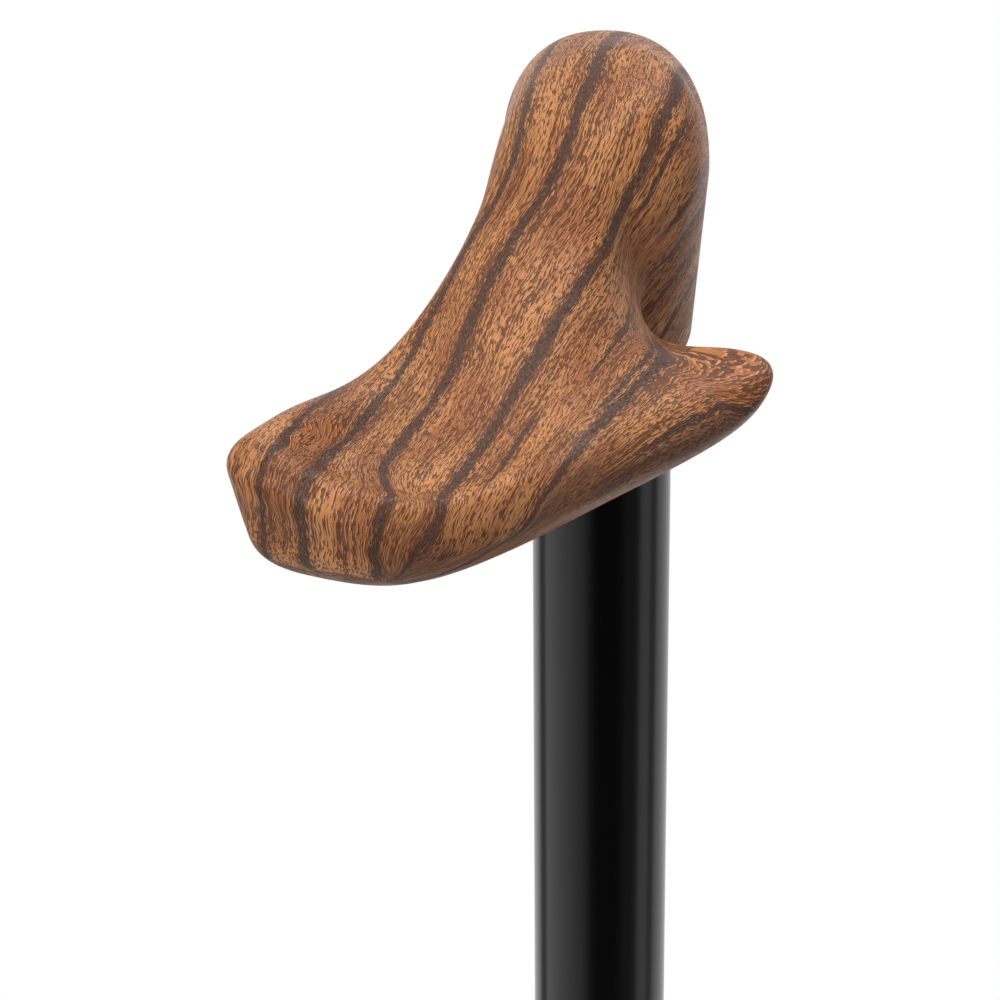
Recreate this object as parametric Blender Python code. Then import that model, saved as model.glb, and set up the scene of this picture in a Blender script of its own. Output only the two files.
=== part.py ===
"""Height-adjustable walking stick with an anatomical grip for the left hand.

Metres, +Z up the shaft. The origin is the centre of the ferrule's foot, on the
shaft's axis. +Y points to the nose of the grip and +X to its thumb side.
"""
import math

import bmesh
import bpy
import numpy as np
from mathutils import Matrix

ROUND = 48
SMALL_ROUND = 32
FERRULE_ROUND = 40
BOLT_ROUND = 24
HOLE_ROUND = 16
SMOOTH_ANGLE = math.radians(35)

# Clearances
GAP = 0.0003
SLIDE_CLEARANCE = 0.00025
TELESCOPE_CLEARANCE = 0.0003
PIN_CLEARANCE = 0.00015
EDGE_BREAK = 0.0005

# Tubes
UPPER_TUBE_RADIUS = 0.0110
UPPER_TUBE_WALL = 0.0012
UPPER_TUBE_LENGTH = 0.4830
LOWER_TUBE_WALL = 0.0012
LOWER_TUBE_LENGTH = 0.5417
UPPER_TUBE_BORE = UPPER_TUBE_RADIUS - UPPER_TUBE_WALL
LOWER_TUBE_RADIUS = UPPER_TUBE_BORE - TELESCOPE_CLEARANCE
LOWER_TUBE_BORE = LOWER_TUBE_RADIUS - LOWER_TUBE_WALL
TUBE_EDGE_BREAK = 0.00025

# Height settings: a row of holes that the button snaps into
HOLE_COUNT = 7
HOLE_PITCH = 0.0254
HOLE_END_DISTANCE = 0.0380
BUTTON_BELOW_TOP = 0.0500

# Button and its leaf spring
BUTTON_RADIUS = 0.0030
BUTTON_PROUD = 0.0019
BUTTON_DOME = 0.0010
BUTTON_DOME_STEPS = 4
BUTTON_FLANGE_RADIUS = 0.0039
BUTTON_FLANGE = 0.0010
BUTTON_HOLE_RADIUS = BUTTON_RADIUS + SLIDE_CLEARANCE
SPRING_WIDTH = 0.0045
SPRING_THICKNESS = 0.0005
SPRING_DEPTH = 0.0300
SPRING_BEND_RADIUS = 0.0035
SPRING_BEND_STEPS = 8

# Ferrule and what it holds
FERRULE_FLOOR = 0.0040
FERRULE_HEIGHT = 0.0450
FERRULE_FOOT_RADIUS = 0.0190
FERRULE_NECK_RADIUS = 0.0132
TREAD_DEPTH = 0.0012
TREAD_LANDS = ((0.0, 0.0060), (0.0084, 0.0110), (0.0134, 0.0172))
TREAD_WALL = 0.0003
FERRULE_EDGE_LEVEL = 0.0018
FERRULE_RIM_LEVEL = 0.0041
FERRULE_BELL_LEVEL = 0.0252
FERRULE_BELL_CURVE = 1.6
FERRULE_BELL_STEPS = 5
FERRULE_RIB_LEVELS = (0.0288, 0.0342)
FERRULE_RIB = 0.0012
FERRULE_RIB_WIDTH = 0.0027
FERRULE_LIP_LEVEL = 0.0405
FERRULE_LIP = 0.0006
WASHER_THICKNESS = 0.0015
END_PLUG_FLANGE = 0.0019
END_PLUG_STEM = 0.0140
END_PLUG_HOLE = 0.0020

# Bush on top of the lower tube
BUSH_STEM = 0.0120
BUSH_FLANGE = 0.0030
BUSH_WALL = 0.0015

# Threaded sleeve, locking collar and compression ring
THREAD_PITCH = 0.0025
THREAD_DEPTH = 0.0009
THREAD_LENGTH = 0.0130
THREAD_CLEARANCE = 0.00035
THREAD_SIDES = 32
THREAD_ROWS_PER_PITCH = 5
SLEEVE_WALL = 0.0012
SLEEVE_GUIDE = 0.0125
SLEEVE_GRIP = 0.0250
SLEEVE_STOP = 0.0025
SLEEVE_STOP_LIP = 0.0013
SLEEVE_BARREL_WALL = 0.0018
COLLAR_WALL = 0.0024
COLLAR_LENGTH = 0.0290
COLLAR_RIB = 0.0006
COLLAR_STOP_GAP = 0.0006
COLLAR_CHAMFER = 0.0012
COLLAR_TOP_CHAMFER = 0.0006
RING_LENGTH = 0.0065
RING_TAPER = 0.0020
RING_WALL = 0.0030
RING_SPLIT_DEG = 16.0
RING_STEPS = 40
SLEEVE_PIN_RADIUS = 0.0011
SLEEVE_PIN_BELOW_TOP = 0.0070

# What fastens the grip to the upper tube
SOCKET_GRIP = 0.0240
TOP_PLUG_FLANGE = 0.0014
TOP_PLUG_STEM = 0.0140
TOP_PLUG_BARB = 0.0004
TOP_PLUG_BARBS = 3
BOLT_RADIUS = 0.0030
BOLT_HEAD_RADIUS = 0.0050
BOLT_HEAD = 0.0060
BOLT_HEX_ACROSS = 0.0050
BOLT_HEX_DEPTH = 0.0030
BOLT_WASHER_CLEARANCE = 0.0013
BOLT_WASHER = 0.0014
INSERT_RADIUS = 0.0050
INSERT_LENGTH = 0.0080
BOLT_END_MARGIN = 0.0010

# Grip form: numbers named _MM count in this length, from the shaft's axis at the foot
# of the neck. The plan outline runs round the palm plate: finger side, neck, thumb
# lobe, heel.
GRIP_LENGTH_STEP = 0.001
NECK_WALL = 0.0023
NECK_FOOT_ROUND_MM = 4.5
PLATE_OUTLINE_MM = (
    (-16.4, -77), (-15.0, -65), (-11.7, -50), (-8.8, -34), (-8.2, -18), (-8.6, -4),
    (-2, 6), (7, 1), (8.0, -9), (17, -13), (27, -10.2), (36.4, -8.8),
    (39.3, -16.8), (34.9, -31), (29.8, -45), (24.9, -61), (17.6, -75), (7, -82),
    (-8, -82.6), (-16.3, -82.8),
)
# Heights of the palm's top face: a row for each station from heel to nose, a
# column for each place from the finger side to the thumb side. Outline and heights
# are laid out on a map of the plan, which is evened out a few times.
PALM_STATIONS_MM = (-85, -70, -55, -40, -25, -15, -11, -8, -4, 0, 15)
PALM_COLUMNS_MM = (-16, -4, 7, 10.5, 13.5, 17, 30, 40)
PALM_HEIGHTS_MM = (
    (19.8, 16.2, 13.9, 12.9, 12.2, 11.7, 11.0, 11.0),
    (19.4, 15.7, 13.5, 12.7, 12.2, 11.7, 11.0, 11.0),
    (18.4, 17.3, 15.9, 15.3, 14.8, 14.2, 13.0, 12.5),
    (20.7, 22.0, 21.2, 20.5, 19.4, 17.9, 13.9, 12.8),
    (25.4, 29.0, 27.3, 26.0, 23.6, 20.2, 14.9, 14.0),
    (30.6, 34.3, 32.2, 28.8, 20.4, 14.9, 15.1, 14.8),
    (32.8, 36.5, 34.9, 26.5, 14.6, 14.2, 15.2, 14.9),
    (34.2, 37.9, 36.9, 24.5, 14.0, 14.3, 15.3, 14.9),
    (35.7, 39.6, 39.4, 33.5, 23.0, 14.6, 15.2, 14.8),
    (37.0, 41.0, 41.6, 38.6, 34.5, 28.0, 15.1, 14.7),
    (39.0, 44.5, 45.0, 43.5, 41.0, 35.0, 20.0, 15.0),
)
PALM_MAP_LOW_MM = (-46.0, -100.0)
PALM_MAP_STEP_MM = 1.0
PALM_MAP_COUNTS = (106, 164)
OUTLINE_EVENINGS = 1
HEIGHT_EVENINGS = 3
PALM_TOP_SLOPE = 1.1
# The palm's edge is rounded more along the thumb side and a little more at the heel
PALM_EDGE_ROUND_MM = 2.6
THUMB_EDGE_EXTRA_MM = 3.9
HEEL_EDGE_EXTRA_MM = 1.0
THUMB_SIDE_MM = (0.0, 16.0)
THUMB_EDGE_ENDS_MM = (-14.0, -24.0)
HEEL_EDGE_STARTS_MM = (-62.0, -76.0)
LIP_HEIGHT_MM = 3.0
LIP_WIDTH_MM = 4.4
LIP_INSET_MM = 4.2
LIP_STARTS_MM = -42.0
LIP_FULL_MM = -66.0
UNDERSIDE_STATIONS_MM = (-85, -60, -30, 0, 20)
UNDERSIDE_HEIGHTS_MM = (-4.6, -2.8, -1.1, 1.8, 3.0)
UNDERSIDE_TILT = 0.09
UNDERSIDE_TILTED_MM = (-16.0, 10.0)
UNDERSIDE_ROUND_MM = 10.8
HEEL_DRAFT = 0.22
SIDE_DRAFT = 0.27
DRAFT_CHANGES_MM = (-80.0, -60.0)
DRAFT_LEVEL_MM = 14.0
NOSE_CENTRE_MM = (-4.6, 9.0, 29.0)
NOSE_HALF_MM = (16.1, 24.0, 17.5)
NOSE_TURN_DEG = 31.0
NOSE_FULLNESS = 2.3
NOTCH_BLEND_MM = 1.5
SADDLE_BLEND_MM = 8.5
NOTCH_TOP_MM = 14.0
SADDLE_FROM_MM = 34.0
GRIP_CELL_MM = 1.3
GRIP_KEPT_SHARE = 0.24
GRIP_NET_LOW_MM = (-33.0, -90.0, -6.8)
GRIP_NET_HIGH_MM = (46.0, 40.0, 53.0)

# Levels up the stick
WASHER_BASE = FERRULE_FLOOR + GAP
END_PLUG_BASE = WASHER_BASE + WASHER_THICKNESS + GAP
LOWER_TUBE_BASE = END_PLUG_BASE + END_PLUG_FLANGE + GAP
LOWER_TUBE_TOP = LOWER_TUBE_BASE + LOWER_TUBE_LENGTH
BUTTON_LEVEL = LOWER_TUBE_TOP - BUTTON_BELOW_TOP
LOWEST_HOLE = BUTTON_LEVEL - (HOLE_COUNT // 2) * HOLE_PITCH
UPPER_TUBE_BASE = LOWEST_HOLE - HOLE_END_DISTANCE
UPPER_TUBE_TOP = UPPER_TUBE_BASE + UPPER_TUBE_LENGTH
GRIP_BASE = UPPER_TUBE_TOP - SOCKET_GRIP
SOCKET_CEILING = UPPER_TUBE_TOP + GAP + TOP_PLUG_FLANGE + GAP
SLEEVE_BASE = UPPER_TUBE_BASE - GAP - SLEEVE_GUIDE
SLEEVE_LENGTH = SLEEVE_GUIDE + GAP + SLEEVE_GRIP
SLEEVE_BORE = UPPER_TUBE_RADIUS + GAP
THREAD_MEAN = SLEEVE_BORE + SLEEVE_WALL + THREAD_DEPTH / 2
THREAD_BASE = SLEEVE_BASE + GAP
STOP_BASE = THREAD_BASE + THREAD_LENGTH + GAP
COLLAR_TOP = STOP_BASE - COLLAR_STOP_GAP
COLLAR_BASE = COLLAR_TOP - COLLAR_LENGTH
SLEEVE_BARREL_RADIUS = SLEEVE_BORE + SLEEVE_BARREL_WALL
SLEEVE_PIN_LEVEL = SLEEVE_BASE + SLEEVE_LENGTH - SLEEVE_PIN_BELOW_TOP
NECK_RADIUS = UPPER_TUBE_RADIUS + GAP + NECK_WALL


# Helpers for meshes and materials

def finish(name, colour, roughness, metallic=0.0):
    """Make one material from its colour, roughness and metallic value."""
    material = bpy.data.materials.new(name)
    material.use_nodes = True
    shader = material.node_tree.nodes["Principled BSDF"]
    shader.inputs["Base Color"].default_value = (*colour, 1.0)
    shader.inputs["Roughness"].default_value = roughness
    shader.inputs["Metallic"].default_value = metallic
    return material


def add_object(name, points, faces, material, place=(0.0, 0.0, 0.0), parent=None):
    """Add one closed body whose points are measured from its own place."""
    mesh = bpy.data.meshes.new(name)
    mesh.from_pydata([tuple(map(float, p)) for p in points], [], faces)
    work = bmesh.new()
    work.from_mesh(mesh)
    bmesh.ops.recalc_face_normals(work, faces=work.faces)
    work.to_mesh(mesh)
    work.free()
    mesh.shade_smooth()
    mesh.set_sharp_from_angle(angle=SMOOTH_ANGLE)
    if material:
        mesh.materials.append(material)
    body = bpy.data.objects.new(name, mesh)
    bpy.context.collection.objects.link(body)
    body.location = place
    body.parent = parent
    return body


def add_group(name):
    """Add an empty on the shaft's axis that carries a group of pieces."""
    group = bpy.data.objects.new(name, None)
    bpy.context.collection.objects.link(group)
    return group


def turned_mesh(profile, sides):
    """Points and faces of a profile turned about Z.

    Each profile entry is (radius, height), and a radius may be a function of
    the angle. A profile that starts and ends on the axis is closed there, and
    any other profile is a loop.
    """
    points = []
    rings = []
    for radius, height in profile:
        if radius == 0:
            rings.append([len(points)])
            points.append((0.0, 0.0, height))
            continue
        rings.append(list(range(len(points), len(points) + sides)))
        for side in range(sides):
            angle = math.tau * side / sides
            reach = radius(angle) if callable(radius) else radius
            points.append((reach * math.cos(angle), reach * math.sin(angle), height))
    pairs = list(zip(rings, rings[1:]))
    if len(rings[0]) > 1:
        pairs.append((rings[-1], rings[0]))
    faces = []
    for lower, upper in pairs:
        for side in range(sides):
            after = (side + 1) % sides
            if len(lower) == 1:
                faces.append((lower[0], upper[side], upper[after]))
            elif len(upper) == 1:
                faces.append((lower[side], upper[0], lower[after]))
            else:
                faces.append((lower[side], upper[side], upper[after], lower[after]))
    return points, faces


def turned(name, profile, material, level=0.0, parent=None, sides=ROUND):
    """Add a body turned about the shaft's axis, with its own zero at a level."""
    points, faces = turned_mesh(profile, sides)
    return add_object(name, points, faces, material, (0.0, 0.0, level), parent)


def swept(name, sections, material, place=(0.0, 0.0, 0.0), parent=None):
    """Add a body that joins equal sections in order, closed at both ends."""
    count = len(sections[0])
    points = [point for section in sections for point in section]
    faces = [tuple(range(count)), tuple(range(len(points) - count, len(points)))]
    for step in range(len(sections) - 1):
        start = step * count
        for corner in range(count):
            after = (corner + 1) % count
            faces.append((start + corner, start + after,
                          start + count + after, start + count + corner))
    return add_object(name, points, faces, material, place, parent)


def round_cutter(name, rods):
    """Add the rods that cut round holes; each is (start, direction, radius, length)."""
    points = []
    faces = []
    for start, direction, radius, length in rods:
        rod, rod_faces = turned_mesh(((0, 0), (radius, 0), (radius, length), (0, length)), HOLE_ROUND)
        turn = Matrix.Translation(start) @ direction.to_track_quat("Z", "Y").to_matrix().to_4x4()
        faces += [tuple(len(points) + index for index in face) for face in rod_faces]
        points += [turn @ Matrix.Translation(point).translation for point in rod]
    return as_cutter(add_object(name, points, faces, None))


def as_cutter(body):
    """Hide a body that only cuts others."""
    body.hide_render = True
    body.display_type = "WIRE"
    return body


def cut(body, cutter):
    """Cut a body with a live Boolean."""
    boolean = body.modifiers.new(cutter.name, "BOOLEAN")
    boolean.operation = "DIFFERENCE"
    boolean.solver = "EXACT"
    boolean.object = cutter


# Grip form

def smooth_curve(places, values, query):
    """Read a smooth curve through values at places, level past both ends.

    The values are numbers, or arrays with one number for each point of the query.
    """
    last = len(places) - 1
    query = np.clip(query, places[0], places[-1]) + 0.0 * values[0]
    slopes = []
    for index in range(last + 1):
        before, after = max(index - 1, 0), min(index + 1, last)
        slopes.append((values[after] - values[before]) / (places[after] - places[before]))
    result = np.zeros(query.shape)
    for index in range(last):
        span = places[index + 1] - places[index]
        t = (query - places[index]) / span
        piece = ((2 * t**3 - 3 * t**2 + 1) * values[index] + (t**3 - 2 * t**2 + t) * span * slopes[index]
                 + (3 * t**2 - 2 * t**3) * values[index + 1] + (t**3 - t**2) * span * slopes[index + 1])
        here = (t >= 0) & ((t < 1) | (index == last - 1))
        result = np.where(here, piece, result)
    return result


def rounded_loop(corners, steps=6):
    """Turn the corners of a closed outline into a smooth loop."""
    corners = np.asarray(corners, float)
    before, here, after, beyond = (np.roll(corners, shift, axis=0)[:, None] for shift in (1, 0, -1, -2))
    t = (np.arange(steps) / steps)[None, :, None]
    loop = ((1 - t)**3 * before + (3 * t**3 - 6 * t**2 + 4) * here
            + (-3 * t**3 + 3 * t**2 + 3 * t + 1) * after + t**3 * beyond) / 6
    return loop.reshape(-1, 2)


def distance_to_loop(loop, x, y):
    """Distance from points to a closed loop in plan, negative inside it."""
    nearest = np.full(np.broadcast(x, y).shape, np.inf)
    inside = np.zeros(nearest.shape, bool)
    for (x0, y0), (x1, y1) in zip(loop, np.roll(loop, -1, axis=0)):
        dx, dy = x1 - x0, y1 - y0
        t = np.clip(((x - x0) * dx + (y - y0) * dy) / (dx * dx + dy * dy), 0, 1)
        nearest = np.minimum(nearest, (x - x0 - t * dx)**2 + (y - y0 - t * dy)**2)
        if dy:
            crossed = ((y0 > y) != (y1 > y)) & (x < x0 + (y - y0) * dx / dy)
            inside ^= crossed
    return np.where(inside, -1.0, 1.0) * np.sqrt(nearest)


def round_meet(a, b, radius):
    """Where two solids overlap, with the edge between them rounded."""
    corner = np.hypot(np.maximum(a + radius, 0), np.maximum(b + radius, 0))
    return np.minimum(np.maximum(a, b), -radius) + corner


def blend(a, b, width):
    """Two solids joined, with the corner between them filled."""
    overlap = np.maximum(width - np.abs(a - b), 0) / width
    return np.minimum(a, b) - overlap**2 * width / 4


def ease(low, high, value):
    """Rise smoothly from 0 at low to 1 at high."""
    t = np.clip((value - low) / (high - low), 0, 1)
    return t * t * (3 - 2 * t)


def evened(grid, rounds):
    """Even out a map: each value takes half of its neighbours' mean, along each axis."""
    for _ in range(rounds):
        for axis in range(2):
            count = grid.shape[axis]
            padded = np.pad(grid, [(1, 1) if axis == other else (0, 0) for other in range(2)], mode="edge")
            around = np.take(padded, range(count), axis) + np.take(padded, range(2, count + 2), axis)
            grid = grid / 2 + around / 4
    return grid


def palm_maps():
    """Maps of the plan: distance to the palm plate's outline, and height of its top face."""
    x, y = (low + PALM_MAP_STEP_MM * np.arange(count) for low, count in zip(PALM_MAP_LOW_MM, PALM_MAP_COUNTS))
    x, y = np.meshgrid(x, y, indexing="ij")
    columns = [smooth_curve(PALM_STATIONS_MM, heights, y) for heights in zip(*PALM_HEIGHTS_MM)]
    edges = distance_to_loop(rounded_loop(PLATE_OUTLINE_MM), x, y)
    return evened(edges, OUTLINE_EVENINGS), evened(smooth_curve(PALM_COLUMNS_MM, columns, x), HEIGHT_EVENINGS)


def read_map(grid, x, y):
    """Read a map at points of the plan, smoothly between its values."""
    starts, shares = [], []
    for query, low, count in zip(np.broadcast_arrays(x, y), PALM_MAP_LOW_MM, grid.shape):
        place = np.clip((query - low) / PALM_MAP_STEP_MM, 1, count - 3)
        start = np.minimum(place.astype(int), count - 4)
        t = place - start
        starts.append(start - 1)
        shares.append(((1 - t)**3 / 6, (3 * t**3 - 6 * t**2 + 4) / 6,
                       (-3 * t**3 + 3 * t**2 + 3 * t + 1) / 6, t**3 / 6))
    result = 0.0
    for step_x, share_x in enumerate(shares[0]):
        row = sum(share_y * grid[starts[0] + step_x, starts[1] + step_y]
                  for step_y, share_y in enumerate(shares[1]))
        result = result + share_x * row
    return result


def palm_plate(x, y, z, maps):
    """The palm plate with its heel lip and thumb lobe; negative is inside."""
    edge, top = (read_map(grid, x, y) for grid in maps)
    lip = LIP_HEIGHT_MM * np.exp(-((edge + LIP_INSET_MM) / LIP_WIDTH_MM)**2)
    top = (z - top - lip * ease(LIP_STARTS_MM, LIP_FULL_MM, y)) / PALM_TOP_SLOPE
    floor = smooth_curve(UNDERSIDE_STATIONS_MM, UNDERSIDE_HEIGHTS_MM, y)
    floor = floor + UNDERSIDE_TILT * np.clip(x, *UNDERSIDE_TILTED_MM)
    draft = HEEL_DRAFT + (SIDE_DRAFT - HEEL_DRAFT) * ease(*DRAFT_CHANGES_MM, y)
    side = (edge - draft * (z - DRAFT_LEVEL_MM)) / np.hypot(1, draft)
    thumb_side = ease(*THUMB_SIDE_MM, x)
    edge_round = (PALM_EDGE_ROUND_MM + THUMB_EDGE_EXTRA_MM * thumb_side * ease(*THUMB_EDGE_ENDS_MM, y)
                  + HEEL_EDGE_EXTRA_MM * (1 - thumb_side) * ease(*HEEL_EDGE_STARTS_MM, y))
    return round_meet(top, round_meet(floor - z, side, UNDERSIDE_ROUND_MM), edge_round)


def neck_and_nose(x, y, z):
    """The neck round the tube, which swells upwards into the nose."""
    turn = math.radians(NOSE_TURN_DEG)
    neck = NECK_RADIUS / GRIP_LENGTH_STEP
    rise = np.clip(z / NOSE_CENTRE_MM[2], 0, 1)
    dx = x - NOSE_CENTRE_MM[0] * rise
    dy = y - NOSE_CENTRE_MM[1] * rise
    half_across = neck + (NOSE_HALF_MM[0] - neck) * rise
    half_along = neck + (NOSE_HALF_MM[1] - neck) * rise
    power = 2 + (NOSE_FULLNESS - 2) * rise
    tiny = 1e-9
    across = np.abs(dx * math.cos(turn) + dy * math.sin(turn)) / half_across + tiny
    along = np.abs(dy * math.cos(turn) - dx * math.sin(turn)) / half_along + tiny
    above = np.maximum(z - NOSE_CENTRE_MM[2], 0) / NOSE_HALF_MM[2] + tiny
    total = across**power + along**power + above**power
    steep = np.sqrt((across**(power - 1) / half_across)**2 + (along**(power - 1) / half_along)**2
                    + (above**(power - 1) / NOSE_HALF_MM[2])**2)
    outside = (total**(1 / power) - 1) / (total**(1 / power - 1) * steep + tiny)
    return round_meet(outside, -z, NECK_FOOT_ROUND_MM)


def grip_field(x, y, z, maps):
    """The whole grip; zero on its surface and negative inside."""
    width = NOTCH_BLEND_MM + (SADDLE_BLEND_MM - NOTCH_BLEND_MM) * ease(NOTCH_TOP_MM, SADDLE_FROM_MM, z)
    return blend(palm_plate(x, y, z, maps), neck_and_nose(x, y, z), width)


def net_over(field, low, high, cell):
    """Lay a net of quads over a field's surface: one point in each crossed cell."""
    counts = [int(math.ceil((top - base) / cell)) + 1 for base, top in zip(low, high)]
    lines = [base + cell * np.arange(count) for base, count in zip(low, counts)]
    values = field(lines[0][:, None, None], lines[1][None, :, None], lines[2][None, None, :])
    inside = values < 0
    corners = np.stack(np.meshgrid(*lines, indexing="ij"), axis=-1)
    sums = np.zeros((*(count - 1 for count in counts), 3))
    hits = np.zeros(sums.shape[:3])
    for axis in range(3):
        near = tuple(slice(0, -1) if axis == other else slice(None) for other in range(3))
        far = tuple(slice(1, None) if axis == other else slice(None) for other in range(3))
        crossed = inside[near] != inside[far]
        share = np.where(crossed, values[near] / np.where(crossed, values[near] - values[far], 1), 0)
        crossing = corners[near].copy()
        crossing[..., axis] += share * cell
        crossing *= crossed[..., None]
        u, v = [other for other in range(3) if other != axis]
        for step_u in (0, 1):
            for step_v in (0, 1):
                window = [slice(None)] * 3
                window[u] = slice(step_u, counts[u] - 1 + step_u)
                window[v] = slice(step_v, counts[v] - 1 + step_v)
                sums += crossing[tuple(window)]
                hits += crossed[tuple(window)]
    used = hits > 0
    number = np.full(used.shape, -1)
    number[used] = np.arange(used.sum())
    quads = []
    for axis in range(3):
        u, v = (axis + 1) % 3, (axis + 2) % 3
        near = tuple(slice(0, -1) if axis == other else slice(None) for other in range(3))
        far = tuple(slice(1, None) if axis == other else slice(None) for other in range(3))
        for cell_index in np.argwhere(inside[near] != inside[far]):
            ring = []
            for step_u, step_v in ((1, 1), (0, 1), (0, 0), (1, 0)):
                neighbour = cell_index.copy()
                neighbour[u] -= step_u
                neighbour[v] -= step_v
                ring.append(int(number[tuple(neighbour)]))
            quads.append(ring if inside[tuple(cell_index)] else ring[::-1])
    return sums[used] / hits[used][:, None], quads


def settle(field, points, quads, rounds=5, probe=0.02):
    """Even out the points of a net and move them onto the field's surface."""
    quads = np.asarray(quads)
    starts = quads.ravel()
    ends = np.roll(quads, -1, axis=1).ravel()
    for _ in range(rounds):
        sums = np.zeros(points.shape)
        np.add.at(sums, starts, points[ends])
        np.add.at(sums, ends, points[starts])
        hits = np.bincount(np.concatenate([starts, ends]), minlength=len(points))
        points = (points + sums / hits[:, None]) / 2
        points = onto_surface(field, points, probe)
    return onto_surface(field, onto_surface(field, points, probe), probe)


def onto_surface(field, points, probe):
    """Step points along the field's slope onto its surface."""
    for _ in range(2):
        value = field(*points.T)
        slope = np.stack([(field(*(points + step).T) - field(*(points - step).T)) / (2 * probe)
                          for step in np.eye(3) * probe], axis=1)
        points = points - (value / np.maximum((slope**2).sum(axis=1), 0.25))[:, None] * slope
    return points


def build_grip(material, parent):
    """The one-piece grip, with a blind socket for the tube and its insert."""
    maps = palm_maps()

    def field(x, y, z):
        return grip_field(x, y, z, maps)

    points, quads = net_over(field, GRIP_NET_LOW_MM, GRIP_NET_HIGH_MM, GRIP_CELL_MM)
    points = settle(field, points, quads) * GRIP_LENGTH_STEP
    grip = add_object("handle_body", points, quads, material, (0.0, 0.0, GRIP_BASE), parent)
    thin = grip.modifiers.new("thin_net", "DECIMATE")
    thin.ratio = GRIP_KEPT_SHARE
    bore = SLEEVE_BORE
    ceiling = SOCKET_CEILING - GRIP_BASE
    insert_hole = INSERT_RADIUS + PIN_CLEARANCE
    insert_top = ceiling + INSERT_LENGTH + GAP
    below = -SOCKET_GRIP / 2
    socket = ((0, below), (bore, below), (bore, ceiling), (insert_hole, ceiling),
              (insert_hole, insert_top), (0, insert_top))
    cut(grip, as_cutter(turned("socket_cutter", socket, None, GRIP_BASE)))


# Fastening of the grip

def hexagon(across):
    """Radius of a hexagon with a given width across its flats."""
    def radius(angle):
        return across / 2 / math.cos((angle + math.pi / 6) % (math.pi / 3) - math.pi / 6)
    return radius


def build_grip_fastening(plastic, steel, brass, parent):
    """Plug in the tube's top, bolt through it and insert in the grip."""
    stem = UPPER_TUBE_BORE - GAP
    hole = BOLT_RADIUS + GAP
    pitch = TOP_PLUG_STEM / (TOP_PLUG_BARBS + 1)
    barbs = []
    for barb in range(TOP_PLUG_BARBS):
        foot = -TOP_PLUG_STEM + (barb + 0.5) * pitch
        barbs += [(stem - TOP_PLUG_BARB, foot), (stem, foot + pitch / 2)]
    flange_top = GAP + TOP_PLUG_FLANGE
    plug = [(hole, -TOP_PLUG_STEM), (stem - 2 * TOP_PLUG_BARB, -TOP_PLUG_STEM), *barbs,
            (stem - TOP_PLUG_BARB, GAP), (UPPER_TUBE_RADIUS, GAP), (UPPER_TUBE_RADIUS, flange_top),
            (hole, flange_top)]
    turned("tube_top_plug", plug, plastic, UPPER_TUBE_TOP, parent, SMALL_ROUND)

    washer_level = UPPER_TUBE_TOP - TOP_PLUG_STEM - GAP - BOLT_WASHER
    rim = UPPER_TUBE_BORE - BOLT_WASHER_CLEARANCE
    washer = ((hole, 0), (rim, 0), (rim, BOLT_WASHER), (hole, BOLT_WASHER))
    turned("handle_bolt_washer", washer, steel, washer_level, parent, SMALL_ROUND)

    seat = washer_level - GAP
    shank = SOCKET_CEILING + INSERT_LENGTH - BOLT_END_MARGIN - seat
    edge = EDGE_BREAK
    hexagonal = hexagon(BOLT_HEX_ACROSS)
    recess = BOLT_HEX_DEPTH - BOLT_HEAD
    bolt = ((0, recess), (hexagonal, recess), (hexagonal, -BOLT_HEAD), (BOLT_HEAD_RADIUS - edge, -BOLT_HEAD),
            (BOLT_HEAD_RADIUS, -BOLT_HEAD + edge), (BOLT_HEAD_RADIUS, 0), (BOLT_RADIUS, 0),
            (BOLT_RADIUS, shank - edge), (BOLT_RADIUS - edge, shank), (0, shank))
    turned("handle_bolt", bolt, steel, seat, parent, BOLT_ROUND)

    groove = INSERT_RADIUS - EDGE_BREAK
    inside = BOLT_RADIUS + PIN_CLEARANCE
    low, high = INSERT_LENGTH / 3, INSERT_LENGTH * 2 / 3
    insert = ((inside, 0), (INSERT_RADIUS, 0), (INSERT_RADIUS, low), (groove, low + EDGE_BREAK),
              (groove, high - EDGE_BREAK), (INSERT_RADIUS, high), (INSERT_RADIUS, INSERT_LENGTH),
              (inside, INSERT_LENGTH))
    turned("handle_threaded_insert", insert, brass, SOCKET_CEILING, parent, BOLT_ROUND)


# Tubes

def tube_profile(radius, wall, length):
    """A tube with its edges broken a little."""
    edge = TUBE_EDGE_BREAK
    bore = radius - wall
    return ((bore, 0), (radius - edge, 0), (radius, edge), (radius, length - edge), (radius - edge, length),
            (bore, length))


def button_rods(levels):
    """Rods that cut the button's holes in the wall on the side away from the nose."""
    back = Matrix.Rotation(math.radians(90), 3, "X").col[2]
    start = -LOWER_TUBE_BORE / 2
    return [((0.0, start, level), back, BUTTON_HOLE_RADIUS, UPPER_TUBE_RADIUS) for level in levels]


def pin_rods():
    """Rods that cut the holes for the sleeve's two pins, through sleeve and tube."""
    side = Matrix.Rotation(math.radians(90), 3, "Y").col[2]
    start = LOWER_TUBE_BORE
    length = SLEEVE_BARREL_RADIUS - start + 2 * UPPER_TUBE_WALL
    return [((sign * start, 0.0, SLEEVE_PIN_LEVEL), sign * side, SLEEVE_PIN_RADIUS + PIN_CLEARANCE, length)
            for sign in (1, -1)]


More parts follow.
